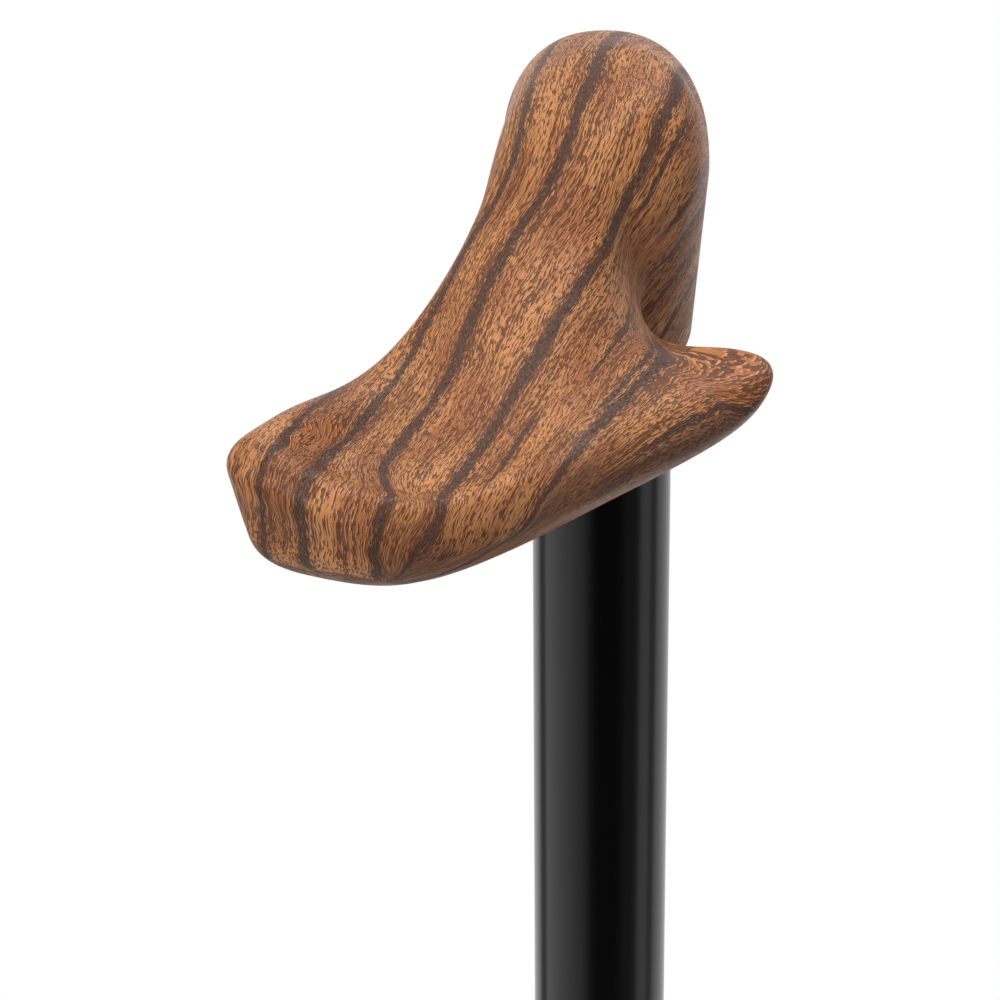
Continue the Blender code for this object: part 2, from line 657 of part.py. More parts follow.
def build_tubes(anodised, parent_top, parent_bottom):
    """Upper tube with its row of holes, and lower tube with one hole."""
    upper = turned("upper_tube", tube_profile(UPPER_TUBE_RADIUS, UPPER_TUBE_WALL, UPPER_TUBE_LENGTH),
                   anodised, UPPER_TUBE_BASE, parent_top)
    levels = [LOWEST_HOLE + index * HOLE_PITCH for index in range(HOLE_COUNT)]
    cut(upper, round_cutter("upper_tube_cutter", button_rods(levels) + pin_rods()))
    lower = turned("lower_tube", tube_profile(LOWER_TUBE_RADIUS, LOWER_TUBE_WALL, LOWER_TUBE_LENGTH),
                   anodised, LOWER_TUBE_BASE, parent_bottom)
    cut(lower, round_cutter("lower_tube_cutter", button_rods([BUTTON_LEVEL])))


# Height lock

def thread_rows(mean, fade_to, base_level):
    """Profile entries of a rounded right-hand thread, faded out at both ends."""
    rows = int(round(THREAD_LENGTH / THREAD_PITCH * THREAD_ROWS_PER_PITCH))
    entries = []
    for row in range(rows + 1):
        height = THREAD_LENGTH * row / rows
        fade = min(1.0, 2 * height / THREAD_PITCH, 2 * (THREAD_LENGTH - height) / THREAD_PITCH)

        def radius(angle, height=height, fade=fade):
            wave = THREAD_DEPTH / 2 * math.sin(math.tau * height / THREAD_PITCH - angle)
            return fade_to + fade * (mean + wave - fade_to)

        entries.append((radius, THREAD_BASE + height - base_level))
    return entries


def build_sleeve(plastic, steel, parent):
    """Sleeve on the upper tube's lower end, with its thread, and its two pins."""
    root = THREAD_MEAN - THREAD_DEPTH / 2
    stop = THREAD_MEAN + THREAD_DEPTH / 2 + SLEEVE_STOP_LIP
    stop_base = STOP_BASE - SLEEVE_BASE
    edge = EDGE_BREAK
    guide = LOWER_TUBE_RADIUS + SLIDE_CLEARANCE
    shoulder = SLEEVE_GUIDE
    barrel = SLEEVE_BARREL_RADIUS
    profile = [(guide, 0), (root, 0), *thread_rows(THREAD_MEAN, root, SLEEVE_BASE), (root, stop_base),
               (stop, stop_base), (stop, stop_base + SLEEVE_STOP), (barrel, stop_base + SLEEVE_STOP),
               (barrel, SLEEVE_LENGTH - edge), (barrel - edge, SLEEVE_LENGTH), (SLEEVE_BORE, SLEEVE_LENGTH),
               (SLEEVE_BORE, shoulder), (guide, shoulder)]
    sleeve = turned("threaded_sleeve", profile, plastic, SLEEVE_BASE, parent, THREAD_SIDES)
    cut(sleeve, round_cutter("sleeve_cutter", pin_rods()))
    inner = UPPER_TUBE_BORE + GAP / 2
    length = SLEEVE_BARREL_RADIUS - inner
    pin = ((0, 0), (SLEEVE_PIN_RADIUS, 0), (SLEEVE_PIN_RADIUS, length), (0, length))
    for sign, side in ((1, "right"), (-1, "left")):
        body = turned(f"sleeve_pin_{side}", pin, steel, 0.0, parent, HOLE_ROUND)
        body.rotation_euler = (0.0, sign * math.radians(90), 0.0)
        body.location = (sign * inner, 0.0, SLEEVE_PIN_LEVEL)


def ring_outer(height):
    """Outer radius of the compression ring's cone at a height above its foot."""
    return LOWER_TUBE_RADIUS + GAP + RING_WALL - RING_TAPER * (1 - height / RING_LENGTH)


def build_collar(plastic, parent):
    """Locking collar: grip ribs outside, thread and a conical seat inside."""
    bore = THREAD_MEAN + THREAD_DEPTH / 2 + THREAD_CLEARANCE
    outside = bore + COLLAR_WALL
    ring_foot = SLEEVE_BASE - GAP - RING_LENGTH

    def ribbed(angle):
        return outside - COLLAR_RIB * (1 - math.cos(THREAD_SIDES / 2 * angle)) / 2

    mouth = LOWER_TUBE_RADIUS + 2 * SLIDE_CLEARANCE
    seat = ring_foot - GAP - COLLAR_BASE
    thread = thread_rows(THREAD_MEAN + THREAD_CLEARANCE, bore, COLLAR_BASE)
    profile = [(mouth, 0), (outside - COLLAR_CHAMFER, 0), (ribbed, COLLAR_CHAMFER),
               (ribbed, COLLAR_LENGTH - COLLAR_TOP_CHAMFER), (outside - COLLAR_CHAMFER, COLLAR_LENGTH),
               (bore, COLLAR_LENGTH), *reversed(thread),
               (ring_outer(RING_LENGTH) + GAP, SLEEVE_BASE - GAP - COLLAR_BASE),
               (ring_outer(0) + GAP, seat), (mouth, seat)]
    turned("locking_collar", profile, plastic, COLLAR_BASE, parent, THREAD_SIDES)


def build_ring(plastic, parent):
    """Split compression ring between the sleeve's end and the collar's seat."""
    bore = LOWER_TUBE_RADIUS + GAP
    half_split = math.radians(RING_SPLIT_DEG) / 2
    corners = ((bore, 0), (ring_outer(0), 0), (ring_outer(RING_LENGTH), RING_LENGTH), (bore, RING_LENGTH))
    sections = []
    for step in range(RING_STEPS + 1):
        angle = half_split + (math.tau - 2 * half_split) * step / RING_STEPS
        across, along = math.cos(angle), math.sin(angle)
        sections.append([(radius * across, radius * along, height) for radius, height in corners])
    swept("compression_ring", sections, plastic, (0.0, 0.0, SLEEVE_BASE - GAP - RING_LENGTH), parent)


def build_button(steel, spring_steel, parent):
    """Snap button in the lower tube and the leaf spring behind it."""
    flange_outer = math.sqrt(LOWER_TUBE_BORE**2 - BUTTON_FLANGE_RADIUS**2) - GAP
    flange_inner = flange_outer - BUTTON_FLANGE
    tip = UPPER_TUBE_RADIUS + BUTTON_PROUD
    length = tip - flange_inner
    dome = [(BUTTON_RADIUS * math.cos(turn), length - BUTTON_DOME + BUTTON_DOME * math.sin(turn))
            for turn in (math.pi / 2 * step / BUTTON_DOME_STEPS for step in range(BUTTON_DOME_STEPS))]
    profile = ((0, 0), (BUTTON_FLANGE_RADIUS, 0), (BUTTON_FLANGE_RADIUS, BUTTON_FLANGE),
               (BUTTON_RADIUS, BUTTON_FLANGE), *dome, (0, length))
    button = turned("height_button", profile, steel, 0.0, parent, BOLT_ROUND)
    button.rotation_euler = (math.radians(90), 0.0, 0.0)
    button.location = (0.0, -flange_inner, BUTTON_LEVEL)

    half = SPRING_THICKNESS / 2
    front = -(flange_inner - GAP - half)
    rest = math.sqrt(LOWER_TUBE_BORE**2 - (SPRING_WIDTH / 2)**2) - GAP - half
    bend_centre = (front + rest) / 2
    reach = BUTTON_FLANGE_RADIUS
    line = [(front, reach), (front, -reach)]
    for step in range(SPRING_BEND_STEPS + 1):
        turn = math.pi * step / SPRING_BEND_STEPS
        line.append((bend_centre - SPRING_BEND_RADIUS * math.cos(turn),
                     -SPRING_DEPTH - SPRING_BEND_RADIUS * math.sin(turn)))
    line += [(rest, -reach), (rest, 0.0), (rest - SPRING_BEND_RADIUS / 2, reach)]
    path = np.array(line)
    along = np.gradient(path, axis=0)
    normal = np.stack([along[:, 1], -along[:, 0]], axis=1) / np.linalg.norm(along, axis=1)[:, None]
    sections = []
    for point, across in zip(path, normal):
        inner, outer = point - half * across, point + half * across
        sections.append([(-SPRING_WIDTH / 2, *inner), (SPRING_WIDTH / 2, *inner),
                         (SPRING_WIDTH / 2, *outer), (-SPRING_WIDTH / 2, *outer)])
    swept("button_spring", sections, spring_steel, (0.0, 0.0, BUTTON_LEVEL), parent)


# Ends of the lower tube

def build_tube_ends(plastic, steel, parent):
    """Bush on the lower tube's top, plug and washer at its foot."""
    stem = LOWER_TUBE_BORE - GAP
    flange = UPPER_TUBE_BORE - SLIDE_CLEARANCE
    hole = stem - BUSH_WALL
    edge = EDGE_BREAK
    rim = GAP + BUSH_FLANGE
    bush = ((hole, -BUSH_STEM), (stem - edge, -BUSH_STEM), (stem, -BUSH_STEM + edge), (stem, GAP),
            (flange, GAP), (flange, rim - edge), (flange - edge, rim), (hole, rim))
    turned("lower_tube_bush", bush, plastic, LOWER_TUBE_TOP, parent, SMALL_ROUND)

    top = END_PLUG_FLANGE + END_PLUG_STEM
    plug = ((END_PLUG_HOLE, 0), (LOWER_TUBE_RADIUS, 0), (LOWER_TUBE_RADIUS, END_PLUG_FLANGE),
            (stem, END_PLUG_FLANGE), (stem, top - edge), (stem - edge, top), (END_PLUG_HOLE, top))
    turned("lower_tube_end_plug", plug, plastic, END_PLUG_BASE, parent, SMALL_ROUND)

    washer = ((0, 0), (LOWER_TUBE_RADIUS, 0), (LOWER_TUBE_RADIUS, WASHER_THICKNESS), (0, WASHER_THICKNESS))
    turned("ferrule_washer", washer, steel, WASHER_BASE, parent, SMALL_ROUND)


def build_ferrule(rubber, parent):
    """Rubber ferrule: ringed tread, bell foot, ribbed neck and a blind socket."""
    bore = LOWER_TUBE_RADIUS + GAP
    tread = []
    for inner, outer in TREAD_LANDS:
        if tread:
            tread += [(tread[-1][0] + TREAD_WALL, TREAD_DEPTH), (inner - TREAD_WALL, TREAD_DEPTH)]
        tread += [(inner, 0.0), (outer, 0.0)]
    foot = FERRULE_FOOT_RADIUS
    neck = FERRULE_NECK_RADIUS
    bell = [(foot, FERRULE_EDGE_LEVEL), (foot, FERRULE_RIM_LEVEL)]
    for step in range(1, FERRULE_BELL_STEPS + 1):
        t = step / FERRULE_BELL_STEPS
        bell.append((neck + (foot - neck) * (1 - t)**FERRULE_BELL_CURVE,
                     FERRULE_RIM_LEVEL + (FERRULE_BELL_LEVEL - FERRULE_RIM_LEVEL) * t))
    ribs = []
    third = FERRULE_RIB_WIDTH / 3
    for level in FERRULE_RIB_LEVELS:
        ribs += [(neck, level), (neck + FERRULE_RIB, level + third), (neck + FERRULE_RIB, level + 2 * third),
                 (neck, level + 3 * third)]
    lip = [(neck, FERRULE_LIP_LEVEL), (neck + FERRULE_LIP, FERRULE_LIP_LEVEL + 2 * FERRULE_LIP),
           (neck, FERRULE_HEIGHT), (bore, FERRULE_HEIGHT)]
    profile = [*tread, *bell, *ribs, *lip, (bore, FERRULE_FLOOR), (0.0, FERRULE_FLOOR)]
    turned("ferrule", profile, rubber, 0.0, parent, sides=FERRULE_ROUND)


def main():
    """Build every piece of the stick."""
    for old in list(bpy.data.objects):
        bpy.data.objects.remove(old)
    film = finish("wood_film", (0.33, 0.145, 0.06), 0.45)
    anodised = finish("black_anodised", (0.012, 0.012, 0.013), 0.16, 0.9)
    black_plastic = finish("black_plastic", (0.025, 0.025, 0.026), 0.45)
    pale_plastic = finish("pale_plastic", (0.55, 0.55, 0.52), 0.4)
    zinc = finish("zinc_steel", (0.62, 0.62, 0.63), 0.3, 1.0)
    spring_steel = finish("spring_steel", (0.35, 0.35, 0.37), 0.35, 1.0)
    brass = finish("brass", (0.78, 0.57, 0.22), 0.3, 1.0)
    rubber = finish("rubber", (0.03, 0.03, 0.03), 0.75)

    stick_top = add_group("stick_top")
    stick_bottom = add_group("stick_bottom")
    lock = add_group("lock")
    build_grip(film, stick_top)
    build_grip_fastening(pale_plastic, zinc, brass, stick_top)
    build_tubes(anodised, stick_top, stick_bottom)
    build_sleeve(black_plastic, zinc, stick_top)
    build_ring(pale_plastic, lock)
    build_collar(black_plastic, lock)
    build_button(zinc, spring_steel, stick_bottom)
    build_tube_ends(pale_plastic, zinc, stick_bottom)
    build_ferrule(rubber, stick_bottom)


main()
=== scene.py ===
"""Looks of the walking stick: a wood-effect grip on a black, height-adjustable shaft."""
import logging
import math
from dataclasses import dataclass
from enum import Enum
from functools import reduce
from typing import Callable, Sequence, Union

import bmesh
import bpy
import numpy as np
from mathutils import Matrix, Vector


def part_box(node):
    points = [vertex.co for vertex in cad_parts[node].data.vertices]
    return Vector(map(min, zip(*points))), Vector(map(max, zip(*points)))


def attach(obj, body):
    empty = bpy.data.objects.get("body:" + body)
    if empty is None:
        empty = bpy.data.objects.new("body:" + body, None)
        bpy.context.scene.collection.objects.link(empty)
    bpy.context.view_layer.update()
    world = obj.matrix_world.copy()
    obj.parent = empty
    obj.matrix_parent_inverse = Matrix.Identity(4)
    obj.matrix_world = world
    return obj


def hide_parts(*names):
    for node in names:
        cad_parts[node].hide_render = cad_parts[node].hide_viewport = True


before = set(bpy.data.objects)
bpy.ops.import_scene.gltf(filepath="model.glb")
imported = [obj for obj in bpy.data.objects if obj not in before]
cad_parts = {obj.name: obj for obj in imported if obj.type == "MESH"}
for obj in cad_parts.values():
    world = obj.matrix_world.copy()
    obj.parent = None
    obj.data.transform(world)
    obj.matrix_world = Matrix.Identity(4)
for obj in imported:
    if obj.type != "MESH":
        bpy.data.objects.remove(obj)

LOG = logging.getLogger("walking_stick")
MM = 0.001
Pair = tuple[float, float]
Triple = tuple[float, float, float]
Line = tuple[Pair, ...]
Profile = Sequence[Pair]
Array = np.ndarray
Value = Union["Signal", float]
Place = Union["Signal", bpy.types.NodeSocket]
NOISE_REACH = (0.3, 0.7)  # where nearly all of a noise field lies


class Body(Enum):
    """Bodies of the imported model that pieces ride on."""

    TOP = "stick_top"
    SHAFT = "lower_shaft"
    BUTTON = "snap_button"
    COLLAR = "lock_collar"


class Finish(Enum):
    """Material slots of the record."""

    WOOD_FILM = "wood_film"
    ANODISED = "black_anodised"
    BLACK_PLASTIC = "black_plastic"
    PALE_PLASTIC = "pale_plastic"
    ZINC = "zinc_steel"
    SPRING = "spring_steel"
    BRASS = "brass"
    RUBBER = "rubber"


# Node trees

@dataclass(frozen=True)
class Signal:
    """A value that flows through a node tree and can be added, scaled and compared."""

    graph: "Graph"
    socket: bpy.types.NodeSocket

    def __add__(self, other: Value) -> "Signal":
        """Sum of two values."""
        return self.graph.math("ADD", self, other)

    def __sub__(self, other: Value) -> "Signal":
        """Difference of two values."""
        return self.graph.math("SUBTRACT", self, other)

    def __mul__(self, other: Value) -> "Signal":
        """Product of two values."""
        return self.graph.math("MULTIPLY", self, other)

    def __truediv__(self, other: Value) -> "Signal":
        """Quotient of two values."""
        return self.graph.math("DIVIDE", self, other)


class Graph:
    """Writes the nodes of one shader or geometry tree, laid out in rows."""

    row_length = 12
    spacing = (180, -220)

    def __init__(self, tree: bpy.types.NodeTree) -> None:
        """Keep the tree that the nodes go into."""
        self.tree = tree

    def put(self, kind: str, inputs: dict | None = None, **settings: object) -> bpy.types.Node:
        """Add a node.

        Args:
            kind: Blender's name of the node type.
            inputs: Values, signals or sockets by input name or number.
            settings: Properties of the node itself.

        Returns:
            The new node.
        """
        node = self.tree.nodes.new(kind)
        row, column = divmod(len(self.tree.nodes), self.row_length)
        node.location = (self.spacing[0] * column, self.spacing[1] * row)
        for name, value in settings.items():
            setattr(node, name, value)
        self.join(node, inputs or {})
        return node

    def join(self, node: bpy.types.Node, inputs: dict) -> None:
        """Give a node's inputs their values, signals or sockets, by input name or number."""
        for name, value in inputs.items():
            self.feed(node.inputs[name], value)

    def feed(self, socket: bpy.types.NodeSocket, value: object) -> None:
        """Give an input what it works with.

        Args:
            socket: The input.
            value: A signal, a socket or a plain value.
        """
        if isinstance(value, Signal):
            value = value.socket
        if isinstance(value, bpy.types.NodeSocket):
            self.tree.links.new(value, socket)
        else:
            socket.default_value = value

    def out(self, node: bpy.types.Node, name: str | int = 0) -> Signal:
        """One output of a node as a signal."""
        return Signal(self, node.outputs[name])

    def math(self, operation: str, *values: Value) -> Signal:
        """Add a Math node for an operation on one to three values."""
        return self.out(self.put("ShaderNodeMath", dict(enumerate(values)), operation=operation))

    def vector(self, x: Value, y: Value, z: Value) -> Signal:
        """Join three values into a vector."""
        return self.out(self.put("ShaderNodeCombineXYZ", {0: x, 1: y, 2: z}))

    def split(self, vector: Place) -> tuple[Signal, Signal, Signal]:
        """Split a vector into its three values."""
        node = self.put("ShaderNodeSeparateXYZ", {0: vector})
        return self.out(node, 0), self.out(node, 1), self.out(node, 2)

    def span(self, value: Signal, low: float, high: float, start: float = 0.0, end: float = 1.0) -> Signal:
        """Carry a value smoothly from one range to another.

        Args:
            value: The value to carry over.
            low: Where the smooth step begins.
            high: Where it ends; below low it runs the other way.
            start: Result at low.
            end: Result at high.

        Returns:
            The result, held at start and end outside the range.
        """
        if low > high:
            low, high, start, end = high, low, end, start
        node = self.put("ShaderNodeMapRange", {"Value": value, "From Min": low, "From Max": high,
                                               "To Min": start, "To Max": end}, interpolation_type="SMOOTHSTEP")
        return self.out(node)

    def curve(self, value: Signal, points: Sequence[Pair]) -> Signal:
        """Read a smooth curve through points, each a place and its value.

        Args:
            value: Where the curve is read, in the points' own unit.
            points: Places and values of the curve, in order of place.

        Returns:
            The curve's value, level past both ends.
        """
        places = [place for place, _ in points]
        values = [height for _, height in points]
        base, top = min(values) - 1.0, max(values) + 1.0
        share = self.put("ShaderNodeMapRange", {"Value": value, "From Min": places[0], "From Max": places[-1]})
        node = self.put("ShaderNodeFloatCurve", {"Value": share.outputs[0]})
        line = node.mapping.curves[0]
        scaled = [((place - places[0]) / (places[-1] - places[0]), (height - base) / (top - base))
                  for place, height in points]
        line.points[0].location, line.points[1].location = scaled[0], scaled[-1]
        for place in scaled[1:-1]:
            line.points.new(*place)
        node.mapping.update()
        return self.out(node) * (top - base) + base

    def tint(self, share: Value, first: object, second: object) -> Signal:
        """Mix two colours by a share.

        Args:
            share: 0 gives the first colour and 1 the second.
            first: A colour or a signal that carries one.
            second: Another colour or signal.

        Returns:
            The mixed colour.
        """
        node = self.put("ShaderNodeMix", data_type="RGBA")
        for place, value in ((0, share), (6, first), (7, second)):
            self.feed(node.inputs[place], (*value, 1.0) if isinstance(value, tuple) else value)
        return self.out(node, 2)

    def own_place(self) -> bpy.types.NodeSocket:
        """Place in the piece's own coordinates."""
        return self.put("ShaderNodeTexCoord").outputs["Object"]

    def surface(self, shader: bpy.types.Node) -> None:
        """End a material with its shader."""
        self.put("ShaderNodeOutputMaterial", {"Surface": shader.outputs[0]})

    def bump(self, height: Signal, distance: float, strength: float = 1.0) -> Signal:
        """Turn a height into a normal, with its full depth in metres."""
        return self.out(self.put("ShaderNodeBump", {"Height": height, "Distance": distance,
                                                    "Strength": strength}))


def blank_material(name: str) -> tuple[bpy.types.Material, Graph]:
    """Open a material without nodes.

    Args:
        name: Name of the material.

    Returns:
        The material, and what writes its nodes.
    """
    material = bpy.data.materials.new(name)
    material.use_nodes = True
    material.node_tree.nodes.clear()
    return material, Graph(material.node_tree)


@dataclass(frozen=True)
class Grain:
    """A noise field: its scale along each axis, its layers and their strength, and where it starts."""

    scale: Triple
    detail: float = 1.0
    roughness: float = 0.5
    start: Triple = (0.0, 0.0, 0.0)

    def read(self, graph: Graph, place: Place) -> Signal:
        """Read the field at a place.

        Args:
            graph: The tree that it is read in.
            place: Place, before the field's scale.

        Returns:
            The noise, about 0.3 to 0.7 and centred on 0.5.
        """
        scaled = graph.put("ShaderNodeVectorMath", {0: place, 1: self.scale, 2: self.start},
                           operation="MULTIPLY_ADD")
        return graph.out(graph.put("ShaderNodeTexNoise", {"Vector": scaled.outputs[0], "Scale": 1.0,
                                                          "Detail": self.detail, "Roughness": self.roughness}))


@dataclass(frozen=True)
class Coat:
    """What every finish has: a name and a way to write its shader."""

    name: str

    def make(self) -> bpy.types.Material:
        """Write the finish as a Blender material.

        Returns:
            The material, its colour, roughness and bump all from nodes.
        """
        material, graph = blank_material(self.name)
        shader = graph.put("ShaderNodeBsdfPrincipled")
        graph.join(shader, self.paint(graph, graph.own_place()))
        graph.surface(shader)
        return material

    def paint(self, graph: Graph, place: bpy.types.NodeSocket) -> dict[str, object]:
        """Work out the looks; each finish has its own way.

        Args:
            graph: The material's nodes.
            place: Place in the piece's own coordinates.

        Returns:
            What goes into the shader's inputs, by their names.
        """
        raise NotImplementedError


@dataclass(frozen=True)
class Guide:
    """A line along the film that the fibres run beside: its place among them, and round the film by along."""

    fibre: float
    line: Line


@dataclass(frozen=True)
class Band:
    """A dark band of the print, in millimetres across and along the film."""

    fibre: float
    half_width: float
    start: float = -200.0
    end: float = 200.0
    fill: float = 1.0


@dataclass(frozen=True)
class WoodFilm(Coat):
    """Printed wood-effect film on the grip: bands, pore dashes and a satin lacquer."""

    name: str = "wood_effect_film"
    ground: Triple = (0.365, 0.120, 0.038)
    golden: Triple = (0.570, 0.240, 0.083)
    # rim: the print's light specks, and also a painted highlight on the lit edge of each embossed pore
    rim: Triple = (0.740, 0.370, 0.190)
    pore: Triple = (0.105, 0.036, 0.015)
    band: Triple = (0.075, 0.034, 0.023)
    guides: tuple[Guide, ...] = (
        Guide(-9.0, ((-110, -4.5), (-89, -4.2), (-80, -3.4), (-70, -6.1), (-60, -6.1), (-49, -6.6), (-40, -8.1),
                     (-30, -9.3), (-24, -10.0), (-15, -9.4), (-10, -10.2), (-5, -11.9), (4, -14.9), (10, -16.3),
                     (30, -22.0), (60, -30.0))),
        Guide(0.0, ((-110, 7.0), (-88, 8.0), (-80, 9.6), (-76, 8.8), (-70, 4.2), (-65, 1.1), (-55, 0.7),
                    (-45, -0.1), (-36, -2.2), (-25, -3.2), (-20, -3.0), (-15, -1.1), (-10, -0.2), (-5, -1.2),
                    (5, -3.9), (13, -6.7), (30, -12.0), (60, -20.0))),
        Guide(11.0, ((-110, 17.0), (-76, 15.9), (-70, 13.4), (-64, 11.8), (-55, 11.2), (-45, 10.9), (-25, 10.0),
                     (-20, 10.6), (-15, 12.1), (-10, 13.4), (-5, 12.5), (0, 10.8), (8, 8.6), (16, 4.8), (30, 1.0),
                     (60, -7.0))),
        Guide(26.0, ((-110, 33.0), (-80, 31.0), (-63, 27.4), (-55, 24.7), (-49, 24.0), (-39, 24.7), (-25, 26.9),
                     (-19, 28.6), (0, 29.0), (30, 22.0), (60, 14.0))),
        Guide(37.0, ((-110, 44.0), (-80, 38.0), (-63, 32.5), (-55, 30.5), (-48, 32.0), (-40, 34.5), (-33, 37.5),
                     (-25, 42.0), (-15, 46.0), (0, 43.0), (30, 35.0), (60, 27.0))),
    )
    bands: tuple[Band, ...] = (
        Band(-9.0, 0.80), Band(0.0, 0.90), Band(11.0, 0.85), Band(26.0, 0.95, -200, -12),
        Band(-15.5, 0.50, -200, -48), Band(16.1, 0.40, -66, -43), Band(19.6, 0.35, -37, -14),
        Band(24.2, 0.45, -42, -14), Band(34.0, 0.50, -42, -14), Band(14.3, 0.40, -12, 8),
        Band(21.7, 0.50, -8, 14), Band(26.5, 0.50, -10, 20), Band(31.0, 0.40, -10, 30),
        Band(36.5, 0.50, -12, 200), Band(26.5, 0.80, 18, 200), Band(48.0, 0.80), Band(60.0, 0.90),
        Band(-26.0, 0.90), Band(-38.0, 0.90), Band(-51.0, 0.90), Band(13.5, 3.0, -95, -71, 0.5),
        Band(36.5, 2.4, -52, -14, 0.55), Band(30.5, 2.0, -66, -46, 0.55),
    )

    waver: Grain = Grain((0.09, 0.06, 1.0))
    ripple: Grain = Grain((0.45, 0.20, 1.0), start=(0.0, 0.0, 4.0))
    wander: Pair = (1.8, 0.6)
    dashes: Grain = Grain((4.7, 0.76, 1.0))
    # lit_dashes: the dashes shifted to one side, which place the painted highlight beside each pore
    lit_dashes: Grain = Grain((4.7, 0.76, 1.0), start=(0.42, 0.10, 0.0))
    dash_edge: Pair = (0.52, 0.59)
    fewer_dashes: float = 0.02
    streak_edge: Pair = (0.48, 0.60)
    streaked_zones: tuple[float, ...] = (0.38, 0.56, 0.05, 0.15)
    crowded_zones: tuple[float, ...] = (0.42, 0.60, 0.0, 0.025)
    hem_crowd: float = 0.05
    gold_loss: float = 0.35
    gold_edge: Pair = (0.05, 0.27)
    broken: tuple[Triple, ...] = ((0.35, 0.62, 0.35), (0.66, 0.42, 0.60), (0.66, 0.50, 0.60))
    band_edge: Pair = (1.2, 0.8)
    threads: Grain = Grain((6.5, 1.6, 1.0), 1.0, 0.6, (0.0, 0.0, 8.0))
    streaks: Grain = Grain((2.3, 0.09, 1.0), start=(0.0, 0.0, 5.0))
    zones: Grain = Grain((0.30, 0.03, 1.0), 2.0, start=(0.0, 0.0, 2.0))
    clouds: Grain = Grain((0.12, 0.07, 1.0), 2.0, start=(0.0, 0.0, 6.0))
    fray: Grain = Grain((4.5, 0.65, 1.0), 2.0, 0.6, (0.0, 0.0, 1.0))
    swell: Grain = Grain((0.05, 0.09, 1.0), start=(0.0, 0.0, 3.0))
    ragged: Pair = (3.0, 1.4)
    hem_reach: float = 3.6
    band_run_out: float = 5.0
    film_end: float = 200.0
    sheen: float = 0.22
    gloss: tuple[float, ...] = (0.35, 0.75, 0.36, 0.46)
    pore_gloss: float = 0.15
    highlight_rim_rise: float = 0.7
    thread_rise: float = 0.4
    emboss: Pair = (0.0001, 0.9)

    def paint(self, graph: Graph, place: bpy.types.NodeSocket) -> dict[str, object]:
        """Lay bands and pores along the film, under a finely embossed lacquer.

        Args:
            graph: The material's nodes.
            place: Place in the piece's own coordinates; not used.

        Returns:
            What goes into the shader's inputs, by their names.
        """
        film = graph.put("ShaderNodeAttribute", attribute_name=FilmWrap.attribute)
        around, along, _ = graph.split(film.outputs["Vector"])
        flat = graph.vector(around, along, 0.0)
        waver, ripple = (grain.read(graph, flat) - 0.5 for grain in (self.waver, self.ripple))
        fibre = self.across(graph, around, along) + waver * self.wander[0] + ripple * self.wander[1]
        laid = graph.vector(fibre, along, 0.0)
        dashes, lit_dashes, threads, streaks, zones, clouds = (grain.read(graph, laid) for grain in (
            self.dashes, self.lit_dashes, self.threads, self.streaks, self.zones, self.clouds))

        bands, hem = self.band_masks(graph, fibre, along)
        lined = graph.span(streaks, *self.streak_edge) * graph.span(zones, *self.streaked_zones)
        crowd = graph.span(zones, *self.crowded_zones) + lined + hem * self.hem_crowd - self.fewer_dashes
        pores = graph.span(dashes + crowd, *self.dash_edge)
        # Painted highlight: the shifted copy of the dashes lights one edge of each embossed pore, and also gives the
        # print's light specks
        painted_highlight_rims = graph.span(lit_dashes + crowd, *self.dash_edge) * graph.math("SUBTRACT", 1.0, pores)
        warm = graph.span(clouds - zones * self.gold_loss - streaks * self.gold_loss, *self.gold_edge)
        colour = graph.tint(warm, self.ground, self.golden)
        tones = (self.rim, self.pore, self.band)
        for share, (low, high, faint), tone in zip((painted_highlight_rims, pores, bands), self.broken, tones):
            colour = graph.tint(share * graph.span(threads, low, high, faint), colour, tone)
        return {"Base Color": colour, "Specular IOR Level": self.sheen,
                "Roughness": graph.span(zones + pores * self.pore_gloss, *self.gloss),
                "Normal": graph.bump(painted_highlight_rims * self.highlight_rim_rise + threads * self.thread_rise - pores, *self.emboss)}

    def across(self, graph: Graph, around: Signal, along: Signal) -> Signal:
        """Place across the fibres, which run beside the guides.

        Args:
            graph: The material's nodes.
            around: Place round the film.
            along: Place along the film.

        Returns:
            The place, in the guides' own count of millimetres.
        """
        lines = [graph.curve(along, guide.line) for guide in self.guides]
        place = graph.math("MINIMUM", around - lines[0], 0.0) + self.guides[0].fibre
        for line, after, guide, onward in zip(lines, lines[1:], self.guides, self.guides[1:]):
            share = graph.math("MINIMUM", graph.math("MAXIMUM", (around - line) / (after - line), 0.0), 1.0)
            place = place + share * (onward.fibre - guide.fibre)
        return place + graph.math("MAXIMUM", around - lines[-1], 0.0)

    def band_masks(self, graph: Graph, fibre: Signal, along: Signal) -> tuple[Signal, Signal]:
        """Where the dark bands lie, and how near they are.

        Args:
            graph: The material's nodes.
            fibre: Place across the fibres.
            along: Place along the film.

        Returns:
            The bands with frayed edges, and the hem beside them where pores crowd, both 0 to 1.
        """
        laid = graph.vector(fibre, along, 0.0)
        fray, swell = (grain.read(graph, laid) - 0.5 for grain in (self.fray, self.swell))
        ragged = fray * self.ragged[0] - swell * self.ragged[1]
        masks, hems = [], []
        for band in self.bands:
            distance = graph.math("ABSOLUTE", fibre - band.fibre) / band.half_width
            solid = graph.span(distance + ragged, *self.band_edge, 0.0, band.fill)
            near = graph.span(distance, self.hem_reach, 1.0)
            for end, inwards in ((band.start, self.band_run_out), (band.end, -self.band_run_out)):
                if abs(end) < self.film_end:
                    going = graph.span(along, end, end + inwards)
                    solid, near = solid * going, near * going
            masks.append(solid)
            hems.append(near)
        return tuple(reduce(lambda first, second: graph.math("MAXIMUM", first, second), parts)
                     for parts in (masks, hems))


